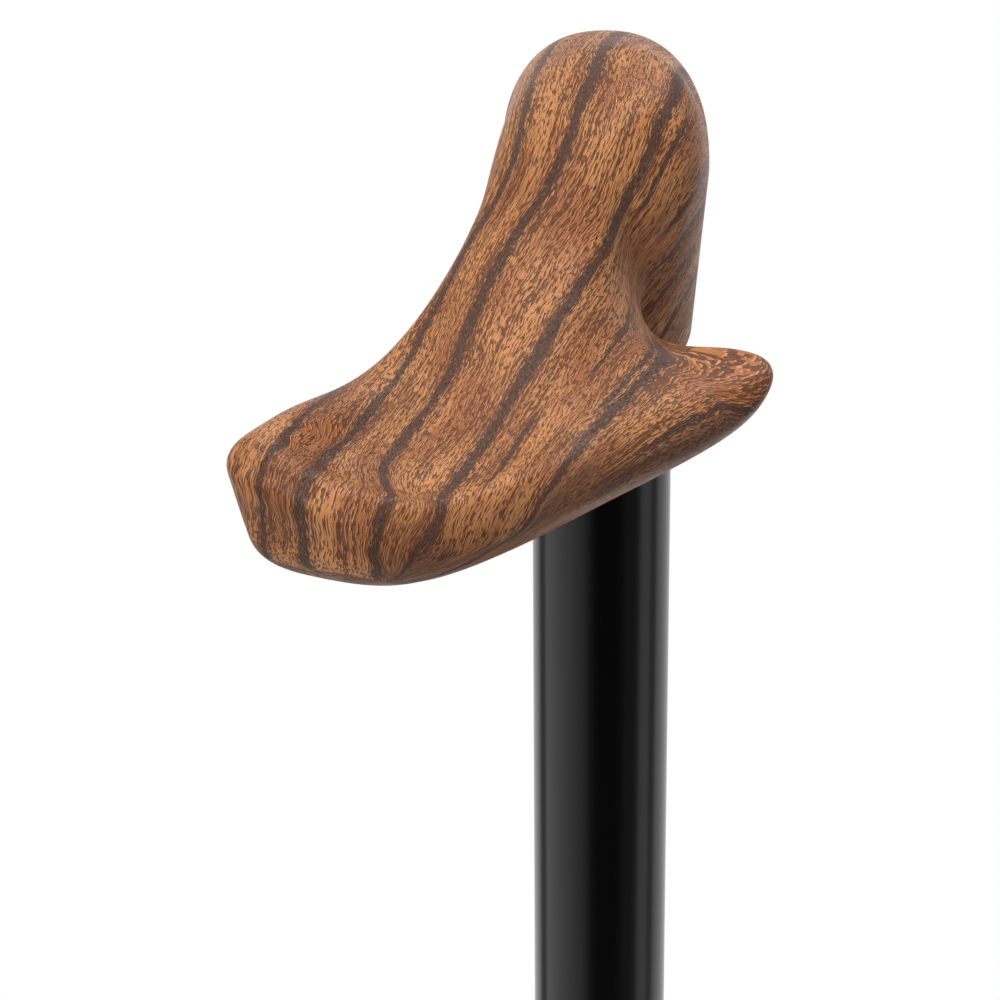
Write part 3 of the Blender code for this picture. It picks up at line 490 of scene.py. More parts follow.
@dataclass(frozen=True)
class Anodised(Coat):
    """Gloss black anodised drawn tube."""

    name: str = "gloss_black_anodised"
    colour: Triple = (0.0045, 0.0045, 0.005)
    drawn: Grain = Grain((2600.0, 2600.0, 9.0), 3.0, 0.6)
    uneven: Grain = Grain((30.0, 30.0, 12.0), 3.0)
    darkest: float = 0.6
    line_gloss: float = 0.3
    gloss: tuple[float, ...] = (0.4, 0.9, 0.10, 0.17)
    sheen: float = 0.5
    relief: Pair = (0.000002, 0.35)

    def paint(self, graph: Graph, place: bpy.types.NodeSocket) -> dict[str, object]:
        """Draw faint lines along the tube and a slight unevenness in the gloss.

        Args:
            graph: The material's nodes.
            place: Place in the piece's own coordinates.

        Returns:
            What goes into the shader's inputs, by their names.
        """
        lines, cloud = self.drawn.read(graph, place), self.uneven.read(graph, place)
        darker = tuple(self.darkest * part for part in self.colour)
        return {"Base Color": graph.tint(graph.span(cloud, *NOISE_REACH), darker, self.colour),
                "Roughness": graph.span(cloud + lines * self.line_gloss, *self.gloss),
                "Specular IOR Level": self.sheen, "Normal": graph.bump(lines, *self.relief)}


@dataclass(frozen=True)
class Moulded(Coat):
    """Injection-moulded plastic with a fine eroded texture."""

    colour: Triple = (0.012, 0.012, 0.013)
    gloss: Pair = (0.36, 0.5)
    depth: float = 0.00002
    sheen: float = 0.35
    eroded: Grain = Grain((2600.0,) * 3, 2.0, 0.6)
    flow: Grain = Grain((60.0,) * 3, 3.0)
    flow_edge: Pair = (0.35, 0.65)
    lighter: Pair = (1.25, 0.002)
    strength: float = 0.5

    def paint(self, graph: Graph, place: bpy.types.NodeSocket) -> dict[str, object]:
        """Lay an eroded grain over the colour, with soft flow clouds in it.

        Args:
            graph: The material's nodes.
            place: Place in the piece's own coordinates.

        Returns:
            What goes into the shader's inputs, by their names.
        """
        spots, cloud = self.eroded.read(graph, place), self.flow.read(graph, place)
        lighter = tuple(min(1.0, self.lighter[0] * part + self.lighter[1]) for part in self.colour)
        return {"Base Color": graph.tint(graph.span(cloud, *self.flow_edge), self.colour, lighter),
                "Roughness": graph.span(spots, *NOISE_REACH, *self.gloss), "Specular IOR Level": self.sheen,
                "Normal": graph.bump(spots, self.depth, self.strength)}


@dataclass(frozen=True)
class Metal(Coat):
    """Bare or plated metal, turned round the shaft's axis or brushed along it."""

    colour: Triple = (0.62, 0.62, 0.63)
    shade: Triple = (0.50, 0.50, 0.53)
    gloss: Pair = (0.22, 0.38)
    brush: Triple = (60.0, 60.0, 5000.0)
    plating: Grain = Grain((250.0,) * 3, 3.0)
    relief: Pair = (0.000003, 0.6)

    def paint(self, graph: Graph, place: bpy.types.NodeSocket) -> dict[str, object]:
        """Brush fine lines into the metal and cloud its plating.

        Args:
            graph: The material's nodes.
            place: Place in the piece's own coordinates.

        Returns:
            What goes into the shader's inputs, by their names.
        """
        lines, cloud = Grain(self.brush, 2.0).read(graph, place), self.plating.read(graph, place)
        return {"Base Color": graph.tint(graph.span(cloud, *NOISE_REACH), self.shade, self.colour),
                "Roughness": graph.span(lines * 0.5 + cloud * 0.5, *NOISE_REACH, *self.gloss), "Metallic": 1.0,
                "Normal": graph.bump(lines, *self.relief)}


@dataclass(frozen=True)
class Rubber(Coat):
    """Moulded black rubber, a little dusty, scuffed at the foot."""

    name: str = "ferrule_rubber"
    colour: Triple = (0.014, 0.014, 0.014)
    dust: Triple = (0.058, 0.057, 0.055)
    scuff_height: float = 0.006
    sheen: float = 0.35
    clouds: Grain = Grain((90.0,) * 3, 4.0, 0.6)
    specks: Grain = Grain((1800.0,) * 3, 2.0, 0.6)
    speck_dust: float = 0.4
    dust_edge: tuple[float, ...] = (0.62, 0.9, 0.0, 0.5)
    scuff_edge: tuple[float, ...] = (0.42, 0.6, 0.0, 0.5)
    gloss: Pair = (0.55, 0.72)
    relief: Pair = (0.00003, 0.5)

    def paint(self, graph: Graph, place: bpy.types.NodeSocket) -> dict[str, object]:
        """Lay dust in clouds and rub the foot's edge grey.

        Args:
            graph: The material's nodes.
            place: Place in the piece's own coordinates.

        Returns:
            What goes into the shader's inputs, by their names.
        """
        big, small = self.clouds.read(graph, place), self.specks.read(graph, place)
        foot = graph.span(graph.split(place)[2], self.scuff_height, 0.0)
        scuffed = foot * graph.span(small, *self.scuff_edge)
        dusty = graph.span(big + small * self.speck_dust, *self.dust_edge) + scuffed
        return {"Base Color": graph.tint(dusty, self.colour, self.dust), "Specular IOR Level": self.sheen,
                "Roughness": graph.span(big, *NOISE_REACH, *self.gloss), "Normal": graph.bump(small, *self.relief)}


class Paints:
    """All finishes, each written once when it is first asked for."""

    def __init__(self) -> None:
        """Set out the finish of each material slot."""
        self.coats: dict[Finish, Coat] = {
            Finish.WOOD_FILM: WoodFilm(),
            Finish.ANODISED: Anodised(),
            Finish.BLACK_PLASTIC: Moulded("black_glass_nylon"),
            Finish.PALE_PLASTIC: Moulded("natural_nylon", (0.52, 0.51, 0.46), (0.32, 0.46), 0.00001),
            Finish.ZINC: Metal("bright_zinc"),
            Finish.SPRING: Metal("spring_steel_strip", (0.36, 0.36, 0.38), (0.24, 0.25, 0.29), (0.25, 0.42),
                                 (5000.0, 60.0, 60.0)),
            Finish.BRASS: Metal("turned_brass", (0.78, 0.57, 0.22), (0.62, 0.42, 0.15), (0.2, 0.36)),
            Finish.RUBBER: Rubber(),
        }
        self.made: dict[Finish, bpy.types.Material] = {}

    def get(self, finish: Finish) -> bpy.types.Material:
        """Look up a finish's material, and write it the first time.

        Args:
            finish: The material slot.

        Returns:
            Its material.
        """
        if finish not in self.made:
            self.made[finish] = self.coats[finish].make()
        return self.made[finish]


# Meshes

def smooth(mesh: bpy.types.Mesh, degrees: float = 35.0) -> None:
    """Shade a mesh smooth but for its edges sharper than an angle."""
    mesh.shade_smooth()
    mesh.set_sharp_from_angle(angle=math.radians(degrees))


def keep_modified(piece: bpy.types.Object) -> None:
    """Keep what a piece's modifiers make of it as its plain mesh.

    Args:
        piece: The piece; its modifiers go.
    """
    depsgraph = bpy.context.evaluated_depsgraph_get()
    depsgraph.update()
    made = bpy.data.meshes.new_from_object(piece.evaluated_get(depsgraph), depsgraph=depsgraph)
    piece.modifiers.clear()
    old, piece.data = piece.data, made
    bpy.data.meshes.remove(old)
    made.name = piece.name


def make_mesh(name: str, points: Sequence, faces: Sequence) -> bpy.types.Object:
    """Make an object at the origin from points and faces, with its faces outwards.

    Args:
        name: Name of the piece.
        points: Points in metres, in the model's own frame.
        faces: Faces as lists of point numbers.

    Returns:
        The new object, linked to the scene.
    """
    mesh = bpy.data.meshes.new(name)
    mesh.from_pydata([tuple(map(float, point)) for point in points], [], [tuple(map(int, face)) for face in faces])
    work = bmesh.new()
    work.from_mesh(mesh)
    bmesh.ops.recalc_face_normals(work, faces=work.faces)
    work.to_mesh(mesh)
    work.free()
    smooth(mesh)
    piece = bpy.data.objects.new(name, mesh)
    bpy.context.collection.objects.link(piece)
    return piece


def turned(name: str, profile: Profile, sides: int, level: float = 0.0, axis: str = "Z") -> bpy.types.Object:
    """Turn a profile round an axis through the shaft.

    Args:
        name: Name of the piece.
        profile: Radius and height of each point; it closes on the axis or as a loop.
        sides: Number of sides round the axis.
        level: Height added to the whole piece.
        axis: "Z" for up the shaft, "-Y" for a piece that points out of the tube's wall.

    Returns:
        The new object.
    """
    points: list[Triple] = []
    rings: list[list[int]] = []
    for radius, height in profile:
        count = 1 if radius == 0 else sides
        rings.append(list(range(len(points), len(points) + count)))
        for side in range(count):
            angle = math.tau * side / sides
            points.append((radius * math.cos(angle), radius * math.sin(angle), height))
    pairs = list(zip(rings, rings[1:]))
    if len(rings[0]) > 1:
        pairs.append((rings[-1], rings[0]))
    faces = []
    for lower, upper in pairs:
        for side in range(sides):
            after = (side + 1) % sides
            if len(lower) == 1:
                faces.append((lower[0], upper[side], upper[after]))
            elif len(upper) == 1:
                faces.append((lower[side], upper[0], lower[after]))
            else:
                faces.append((lower[side], upper[side], upper[after], lower[after]))
    if axis == "-Y":
        points = [(x, -z, y) for x, y, z in points]
    return make_mesh(name, [(x, y, z + level) for x, y, z in points], faces)


def eased(points: Profile, radius: float, steps: int = 4, closed: bool = False) -> list[Pair]:
    """Round the corners of a profile.

    Args:
        points: Corners of the profile.
        radius: Largest rounding; each end of a side gives up at most 45 % of it.
        steps: Points in each rounded corner.
        closed: Whether the last point joins the first.

    Returns:
        The profile with its corners rounded.
    """
    longest = 0.45
    corners = [Vector(point) for point in points]
    count = len(corners)
    result: list[Pair] = []
    for index, here in enumerate(corners):
        before, after = corners[index - 1], corners[(index + 1) % count]
        if not closed and index in (0, count - 1):
            result.append(tuple(here))
            continue
        back, forth = before - here, after - here
        reach = min(radius, back.length * longest, forth.length * longest)
        start, end = here + back.normalized() * reach, here + forth.normalized() * reach
        for step in range(steps + 1):
            t = step / steps
            result.append(tuple(start * (1 - t)**2 + here * 2 * t * (1 - t) + end * t**2))
    return result


def show(piece: bpy.types.Object, body: Body, finish: Finish, paints: Paints, *nodes: str) -> None:
    """Give a finished piece its material, its body and the nodes that it stands for.

    Args:
        piece: The finished piece.
        body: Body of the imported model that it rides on.
        finish: Material slot that it takes its finish from.
        paints: The finishes.
        nodes: Names of the CAD nodes that it stands for.
    """
    piece.data.materials.clear()
    piece.data.materials.append(paints.get(finish))
    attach(piece, body.value)
    if nodes:
        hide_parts(*nodes)
    LOG.info("%s: %d faces, rides on %s", piece.name, len(piece.data.polygons), body.value)


CARRIED_OVER = {
    Finish.BRASS: ("handle_threaded_insert",),
    Finish.PALE_PLASTIC: ("tube_top_plug", "compression_ring", "lower_tube_bush", "lower_tube_end_plug"),
    Finish.ZINC: ("handle_bolt_washer", "handle_bolt", "sleeve_pin_left", "sleeve_pin_right", "ferrule_washer"),
    Finish.SPRING: ("button_spring",),
}


def dress_carried_over(paints: Paints) -> None:
    """Give the CAD nodes that are carried over their materials.

    Args:
        paints: The finishes.
    """
    for finish, nodes in CARRIED_OVER.items():
        material = paints.get(finish)
        for node in nodes:
            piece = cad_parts[node]
            if not piece.data.materials:
                piece.data.materials.append(material)
            for index in range(len(piece.data.materials)):
                piece.data.materials[index] = material
            LOG.info("%s: carried over with %s", node, material.name)


# Geometry node trees

class Pattern:
    """A geometry node tree that shapes a mesh, with named sizes as its inputs."""

    def __init__(self, name: str, sizes: dict[str, float | int]) -> None:
        """Open a tree with a mesh input and one input for each size.

        Args:
            name: Name of the tree.
            sizes: Sizes by name; whole numbers are counts.
        """
        self.name = name
        self.sizes = sizes
        self.tree = bpy.data.node_groups.new(name, "GeometryNodeTree")
        self.graph = Graph(self.tree)
        self.tree.interface.new_socket("Mesh", in_out="INPUT", socket_type="NodeSocketGeometry")
        for size, value in sizes.items():
            kind = "NodeSocketInt" if isinstance(value, int) else "NodeSocketFloat"
            self.tree.interface.new_socket(size, in_out="INPUT", socket_type=kind)
        self.tree.interface.new_socket("Finish", in_out="INPUT", socket_type="NodeSocketMaterial")
        self.tree.interface.new_socket("Mesh", in_out="OUTPUT", socket_type="NodeSocketGeometry")
        self.source = self.graph.put("NodeGroupInput")

    def size(self, name: str) -> Signal:
        """One of the tree's named inputs as a signal."""
        return self.graph.out(self.source, name)

    def close(self, shape: Signal) -> None:
        """End the tree with real geometry and its material.

        Args:
            shape: The shaped mesh.
        """
        real = self.graph.put("GeometryNodeRealizeInstances", {0: shape})
        done = self.graph.put("GeometryNodeSetMaterial", {"Geometry": real.outputs[0],
                                                          "Material": self.source.outputs["Finish"]})
        self.graph.put("NodeGroupOutput", {0: done.outputs[0]})

    def bake(self, piece: bpy.types.Object, material: bpy.types.Material) -> None:
        """Run the tree on a piece and keep the result as its plain mesh.

        Args:
            piece: The piece whose mesh goes in, and comes out changed.
            material: Material that the tree sets.
        """
        modifier = piece.modifiers.new(self.name, "NODES")
        modifier.node_group = self.tree
        values = {**self.sizes, "Finish": material}
        for socket in self.tree.interface.items_tree:
            if socket.in_out == "INPUT" and socket.name in values:
                modifier[socket.identifier] = values[socket.name]
        keep_modified(piece)


class WallHoles(Pattern):
    """A row of equal round holes through one side of a tube's wall."""

    drill_sides = 48

    def __init__(self, count: int, pitch: float, first: float, radius: float, reach: float) -> None:
        """Set out the row.

        Args:
            count: Number of holes.
            pitch: Distance from one hole to the next.
            first: Height of the lowest hole.
            radius: Radius of each hole.
            reach: How far out the drill goes from the axis.
        """
        super().__init__("wall_holes", {"Holes": count, "Pitch": pitch, "First": first, "Radius": radius,
                                        "Reach": reach})
        graph = self.graph
        start = graph.vector(0.0, self.size("Reach") * -0.5, self.size("First"))
        step = graph.vector(0.0, 0.0, self.size("Pitch"))
        line = graph.put("GeometryNodeMeshLine", {"Count": self.source.outputs["Holes"], "Start Location": start,
                                                  "Offset": step})
        drill = graph.put("GeometryNodeMeshCylinder", {"Vertices": self.drill_sides, "Radius": self.size("Radius"),
                                                       "Depth": self.size("Reach")})
        row = graph.put("GeometryNodeInstanceOnPoints", {"Points": line.outputs[0], "Instance": drill.outputs[0],
                                                         "Rotation": (math.pi / 2, 0.0, 0.0)})
        drills = graph.put("GeometryNodeRealizeInstances", {0: row.outputs[0]})
        drilled = graph.put("GeometryNodeMeshBoolean", {"Mesh 1": self.source.outputs["Mesh"],
                                                        "Mesh 2": drills.outputs[0]},
                            operation="DIFFERENCE", solver="EXACT")
        self.close(graph.out(drilled))


class Waves(Pattern):
    """Moves points in or out round the shaft: thread turns or grip flutes."""

    least_radius = 0.0001

    def __init__(self, name: str, low: float, high: float, fade: float, inner: float, outer: float, depth: float,
                 turns: int, pitch: float) -> None:
        """Set out the waves on the part of a piece between two heights and two radii.

        Args:
            name: Name of the tree.
            low: Height where they begin.
            high: Height where they end.
            fade: Length over which they fade in and out.
            inner: Smallest radius of the points that move.
            outer: Largest radius of the points that move.
            depth: From the bottom to the top of a wave.
            turns: Waves in one turn round the shaft.
            pitch: Height between turns of a thread; 0 for upright flutes.
        """
        super().__init__(name, {"Low": low, "High": high, "Fade": fade, "Inner": inner, "Outer": outer,
                                "Depth": depth, "Turns": turns, "Rise": math.tau / pitch if pitch else 0.0})
        graph = self.graph
        x, y, z = graph.split(graph.put("GeometryNodeInputPosition").outputs[0])
        radius = graph.math("SQRT", x * x + y * y)
        angle = graph.math("ARCTAN2", y, x)
        phase = (z - self.size("Low")) * self.size("Rise") - angle * self.size("Turns")
        wave = graph.math("SINE", phase) if pitch else graph.math("COSINE", phase) * 0.5 - 0.5
        rise = (z - self.size("Low")) / self.size("Fade")
        fall = (self.size("High") - z) / self.size("Fade")
        inside = graph.math("MINIMUM", graph.math("MINIMUM", rise, fall), 1.0)
        share = graph.math("MAXIMUM", inside, 0.0)
        here = (graph.math("GREATER_THAN", radius, self.size("Inner"))
                * graph.math("LESS_THAN", radius, self.size("Outer")))
        moved = wave * share * here * self.size("Depth") * (0.5 if pitch else 1.0)
        scale = (radius + moved) / graph.math("MAXIMUM", radius, self.least_radius)
        place = graph.vector(x * scale, y * scale, z)
        shaped = graph.put("GeometryNodeSetPosition", {"Geometry": self.source.outputs["Mesh"],
                                                       "Position": place})
        self.close(graph.out(shaped))


# The grip

@dataclass(frozen=True)
class GripForm:
    """Form of the grip in millimetres from the shaft's axis at the foot of the neck."""

    outline: Line = (
        (-16.4, -77), (-15.0, -65), (-11.7, -50), (-8.8, -34), (-8.2, -18), (-8.6, -4), (-2, 6), (7, 1), (8.0, -9),
        (17, -13), (27, -10.2), (36.4, -8.8), (39.3, -16.8), (34.9, -31), (29.8, -45), (24.9, -61), (17.6, -75),
        (7, -82), (-8, -82.6), (-16.3, -82.8))
    stations: tuple[float, ...] = (-85, -70, -55, -40, -25, -15, -11, -8, -4, 0, 15)
    columns: tuple[float, ...] = (-16, -4, 7, 10.5, 13.5, 17, 30, 40)
    heights: tuple[tuple[float, ...], ...] = (
        (19.8, 16.2, 13.9, 12.9, 12.2, 11.7, 11.0, 11.0),
        (19.4, 15.7, 13.5, 12.7, 12.2, 11.7, 11.0, 11.0),
        (18.4, 17.3, 15.9, 15.3, 14.8, 14.2, 13.0, 12.5),
        (20.7, 22.0, 21.2, 20.5, 19.4, 17.9, 13.9, 12.8),
        (25.4, 29.0, 27.3, 26.0, 23.6, 20.2, 14.9, 14.0),
        (30.6, 34.3, 32.2, 28.8, 20.4, 14.9, 15.1, 14.8),
        (32.8, 36.5, 34.9, 26.5, 14.6, 14.2, 15.2, 14.9),
        (34.2, 37.9, 36.9, 24.5, 14.0, 14.3, 15.3, 14.9),
        (35.7, 39.6, 39.4, 33.5, 23.0, 14.6, 15.2, 14.8),
        (37.0, 41.0, 41.6, 38.6, 34.5, 28.0, 15.1, 14.7),
        (39.0, 44.5, 45.0, 43.5, 41.0, 35.0, 20.0, 15.0))
    map_low: Pair = (-46.0, -100.0)
    map_step: float = 1.0
    map_counts: tuple[int, int] = (106, 164)
    outline_steps: int = 6
    outline_evenings: int = 1
    height_evenings: int = 3
    top_slope: float = 1.1
    edge_round: float = 2.6
    thumb_extra: float = 3.9
    heel_extra: float = 1.0
    thumb_side: Pair = (0.0, 16.0)
    thumb_ends: Pair = (-14.0, -24.0)
    heel_starts: Pair = (-62.0, -76.0)
    lip_height: float = 3.0
    lip_width: float = 4.4
    lip_inset: float = 4.2
    lip_run: Pair = (-42.0, -66.0)
    floor_stations: tuple[float, ...] = (-85, -60, -30, 0, 20)
    floor_heights: tuple[float, ...] = (-4.6, -2.8, -1.1, 1.8, 3.0)
    floor_tilt: float = 0.09
    floor_tilted: Pair = (-16.0, 10.0)
    floor_round: float = 10.8
    heel_draft: float = 0.22
    side_draft: float = 0.27
    draft_run: Pair = (-80.0, -60.0)
    draft_from: float = 14.0
    nose_centre: Triple = (-4.6, 9.0, 29.0)
    nose_half: Triple = (16.1, 24.0, 17.5)
    nose_turn: float = 31.0
    nose_fullness: float = 2.3
    notch_blend: float = 1.5
    saddle_blend: float = 8.5
    saddle_run: Pair = (14.0, 34.0)
    foot_round: float = 4.5
    neck: float = 13.6

    @staticmethod
    def through(places: Sequence[float], values: Sequence, query: Array) -> Array:
        """Read a smooth curve through values at places, level past both ends.

        Args:
            places: Places of the values, in order.
            values: Values, or one array of them for each place.
            query: Where the curve is read.

        Returns:
            The curve's values.
        """
        last = len(places) - 1
        query = np.clip(query, places[0], places[-1]) + 0.0 * values[0]
        slopes = []
        for index in range(last + 1):
            before, after = max(index - 1, 0), min(index + 1, last)
            slopes.append((values[after] - values[before]) / (places[after] - places[before]))
        result = np.zeros(query.shape)
        for index in range(last):
            span = places[index + 1] - places[index]
            t = (query - places[index]) / span
            piece = ((2 * t**3 - 3 * t**2 + 1) * values[index] + (t**3 - 2 * t**2 + t) * span * slopes[index]
                     + (3 * t**2 - 2 * t**3) * values[index + 1] + (t**3 - t**2) * span * slopes[index + 1])
            here = (t >= 0) & ((t < 1) | (index == last - 1))
            result = np.where(here, piece, result)
        return result

    @staticmethod
    def meet(a: Array, b: Array, radius: Array | float) -> Array:
        """Where two solids overlap, with the edge between them rounded."""
        corner = np.hypot(np.maximum(a + radius, 0), np.maximum(b + radius, 0))
        return np.minimum(np.maximum(a, b), -radius) + corner

    @staticmethod
    def ease(low: float, high: float, value: Array) -> Array:
        """Rise smoothly from 0 at low to 1 at high."""
        t = np.clip((value - low) / (high - low), 0, 1)
        return t * t * (3 - 2 * t)

    @staticmethod
    def pulls(t: Array) -> tuple[Array, ...]:
        """Sixths by which four values in a row make a smooth line, by share between the middle two."""
        return (1 - t)**3, 3 * t**3 - 6 * t**2 + 4, -3 * t**3 + 3 * t**2 + 3 * t + 1, t**3

    def loop(self) -> Array:
        """Smooth the plan outline of the palm plate.

        Returns:
            Corners of the smooth loop.
        """
        corners = np.asarray(self.outline, float)
        t = (np.arange(self.outline_steps) / self.outline_steps)[None, :, None]
        rows = (np.roll(corners, shift, axis=0)[:, None] for shift in (1, 0, -1, -2))
        return (sum(pull * row for pull, row in zip(self.pulls(t), rows)) / 6).reshape(-1, 2)

    @staticmethod
    def edge_distance(loop: Array, x: Array, y: Array) -> Array:
        """Distance in plan from points to a closed loop.

        Args:
            loop: Corners of the loop.
            x: Places of the points across.
            y: Places of the points along.

        Returns:
            The distances, negative inside the loop.
        """
        nearest = np.full(np.broadcast(x, y).shape, np.inf)
        inside = np.zeros(nearest.shape, bool)
        for (x0, y0), (x1, y1) in zip(loop, np.roll(loop, -1, axis=0)):
            dx, dy = x1 - x0, y1 - y0
            t = np.clip(((x - x0) * dx + (y - y0) * dy) / (dx * dx + dy * dy), 0, 1)
            nearest = np.minimum(nearest, (x - x0 - t * dx)**2 + (y - y0 - t * dy)**2)
            if dy:
                inside ^= ((y0 > y) != (y1 > y)) & (x < x0 + (y - y0) * dx / dy)
        return np.where(inside, -1.0, 1.0) * np.sqrt(nearest)

    @staticmethod
    def evened(grid: Array, rounds: int) -> Array:
        """Even out a map: each value takes half of its neighbours' mean, along each axis.

        Args:
            grid: The map.
            rounds: How many times it is evened.

        Returns:
            The evened map.
        """
        for _ in range(rounds):
            for axis in range(2):
                count = grid.shape[axis]
                padded = np.pad(grid, [(1, 1) if axis == other else (0, 0) for other in range(2)], mode="edge")
                around = np.take(padded, range(count), axis) + np.take(padded, range(2, count + 2), axis)
                grid = grid / 2 + around / 4
        return grid

    def maps(self) -> tuple[Array, Array]:
        """Draw maps of the plan.

        Returns:
            Distance to the palm plate's outline, and height of its top face.
        """
        x, y = (low + self.map_step * np.arange(count) for low, count in zip(self.map_low, self.map_counts))
        x, y = np.meshgrid(x, y, indexing="ij")
        columns = [self.through(self.stations, heights, y) for heights in zip(*self.heights)]
        edges = self.evened(self.edge_distance(self.loop(), x, y), self.outline_evenings)
        return edges, self.evened(self.through(self.columns, columns, x), self.height_evenings)

    def read(self, grid: Array, x: Array, y: Array) -> Array:
        """Read a map at points of the plan, smoothly between its values.

        Args:
            grid: The map.
            x: Places of the points across.
            y: Places of the points along.

        Returns:
            The map's values there.
        """
        starts, shares = [], []
        for query, low, count in zip(np.broadcast_arrays(x, y), self.map_low, grid.shape):
            place = np.clip((query - low) / self.map_step, 1, count - 3)
            start = np.minimum(place.astype(int), count - 4)
            t = place - start
            starts.append(start - 1)
            shares.append([pull / 6 for pull in self.pulls(t)])
        result = np.zeros(starts[0].shape)
        for step_x, share_x in enumerate(shares[0]):
            row = sum(share_y * grid[starts[0] + step_x, starts[1] + step_y]
                      for step_y, share_y in enumerate(shares[1]))
            result = result + share_x * row
        return result

    def plate(self, x: Array, y: Array, z: Array, maps: tuple[Array, Array]) -> Array:
        """The palm plate with its heel lip and thumb lobe.

        Args:
            x: Places across.
            y: Places along.
            z: Heights.
            maps: Distance to the outline and height of the top face.

        Returns:
            About the distance to the plate, negative inside.
        """
        edge, top = (self.read(grid, x, y) for grid in maps)
        lip = self.lip_height * np.exp(-((edge + self.lip_inset) / self.lip_width)**2)
        top = (z - top - lip * self.ease(*self.lip_run, y)) / self.top_slope
        floor = self.through(self.floor_stations, self.floor_heights, y)
        floor = floor + self.floor_tilt * np.clip(x, *self.floor_tilted)
        draft = self.heel_draft + (self.side_draft - self.heel_draft) * self.ease(*self.draft_run, y)
        side = (edge - draft * (z - self.draft_from)) / np.hypot(1, draft)
        thumb = self.ease(*self.thumb_side, x)
        rounding = (self.edge_round + self.thumb_extra * thumb * self.ease(*self.thumb_ends, y)
                    + self.heel_extra * (1 - thumb) * self.ease(*self.heel_starts, y))
        return self.meet(top, self.meet(floor - z, side, self.floor_round), rounding)

    def nose(self, x: Array, y: Array, z: Array) -> Array:
        """The neck round the tube, which swells upwards into the nose.

        Args:
            x: Places across.
            y: Places along.
            z: Heights.

        Returns:
            About the distance to the neck and nose, negative inside.
        """
        turn = math.radians(self.nose_turn)
        rise = np.clip(z / self.nose_centre[2], 0, 1)
        dx, dy = x - self.nose_centre[0] * rise, y - self.nose_centre[1] * rise
        half_across = self.neck + (self.nose_half[0] - self.neck) * rise
        half_along = self.neck + (self.nose_half[1] - self.neck) * rise
        power = 2 + (self.nose_fullness - 2) * rise
        tiny = 1e-9
        across = np.abs(dx * math.cos(turn) + dy * math.sin(turn)) / half_across + tiny
        along = np.abs(dy * math.cos(turn) - dx * math.sin(turn)) / half_along + tiny
        above = np.maximum(z - self.nose_centre[2], 0) / self.nose_half[2] + tiny
        total = across**power + along**power + above**power
        steep = np.sqrt((across**(power - 1) / half_across)**2 + (along**(power - 1) / half_along)**2
                        + (above**(power - 1) / self.nose_half[2])**2)
        outside = (total**(1 / power) - 1) / (total**(1 / power - 1) * steep + tiny)
        return self.meet(outside, -z, self.foot_round)

    def field(self) -> Callable[[Array, Array, Array], Array]:
        """Work out the whole grip's form.

        Returns:
            A function of place, zero on the surface and negative inside.
        """
        maps = self.maps()

        def whole(x: Array, y: Array, z: Array) -> Array:
            """Join plate and nose smoothly.

            Args:
                x: Places across.
                y: Places along.
                z: Heights.

            Returns:
                The field's values there.
            """
            width = self.notch_blend + (self.saddle_blend - self.notch_blend) * self.ease(*self.saddle_run, z)
            a, b = self.plate(x, y, z, maps), self.nose(x, y, z)
            overlap = np.maximum(width - np.abs(a - b), 0) / width
            return np.minimum(a, b) - overlap**2 * width / 4

        return whole


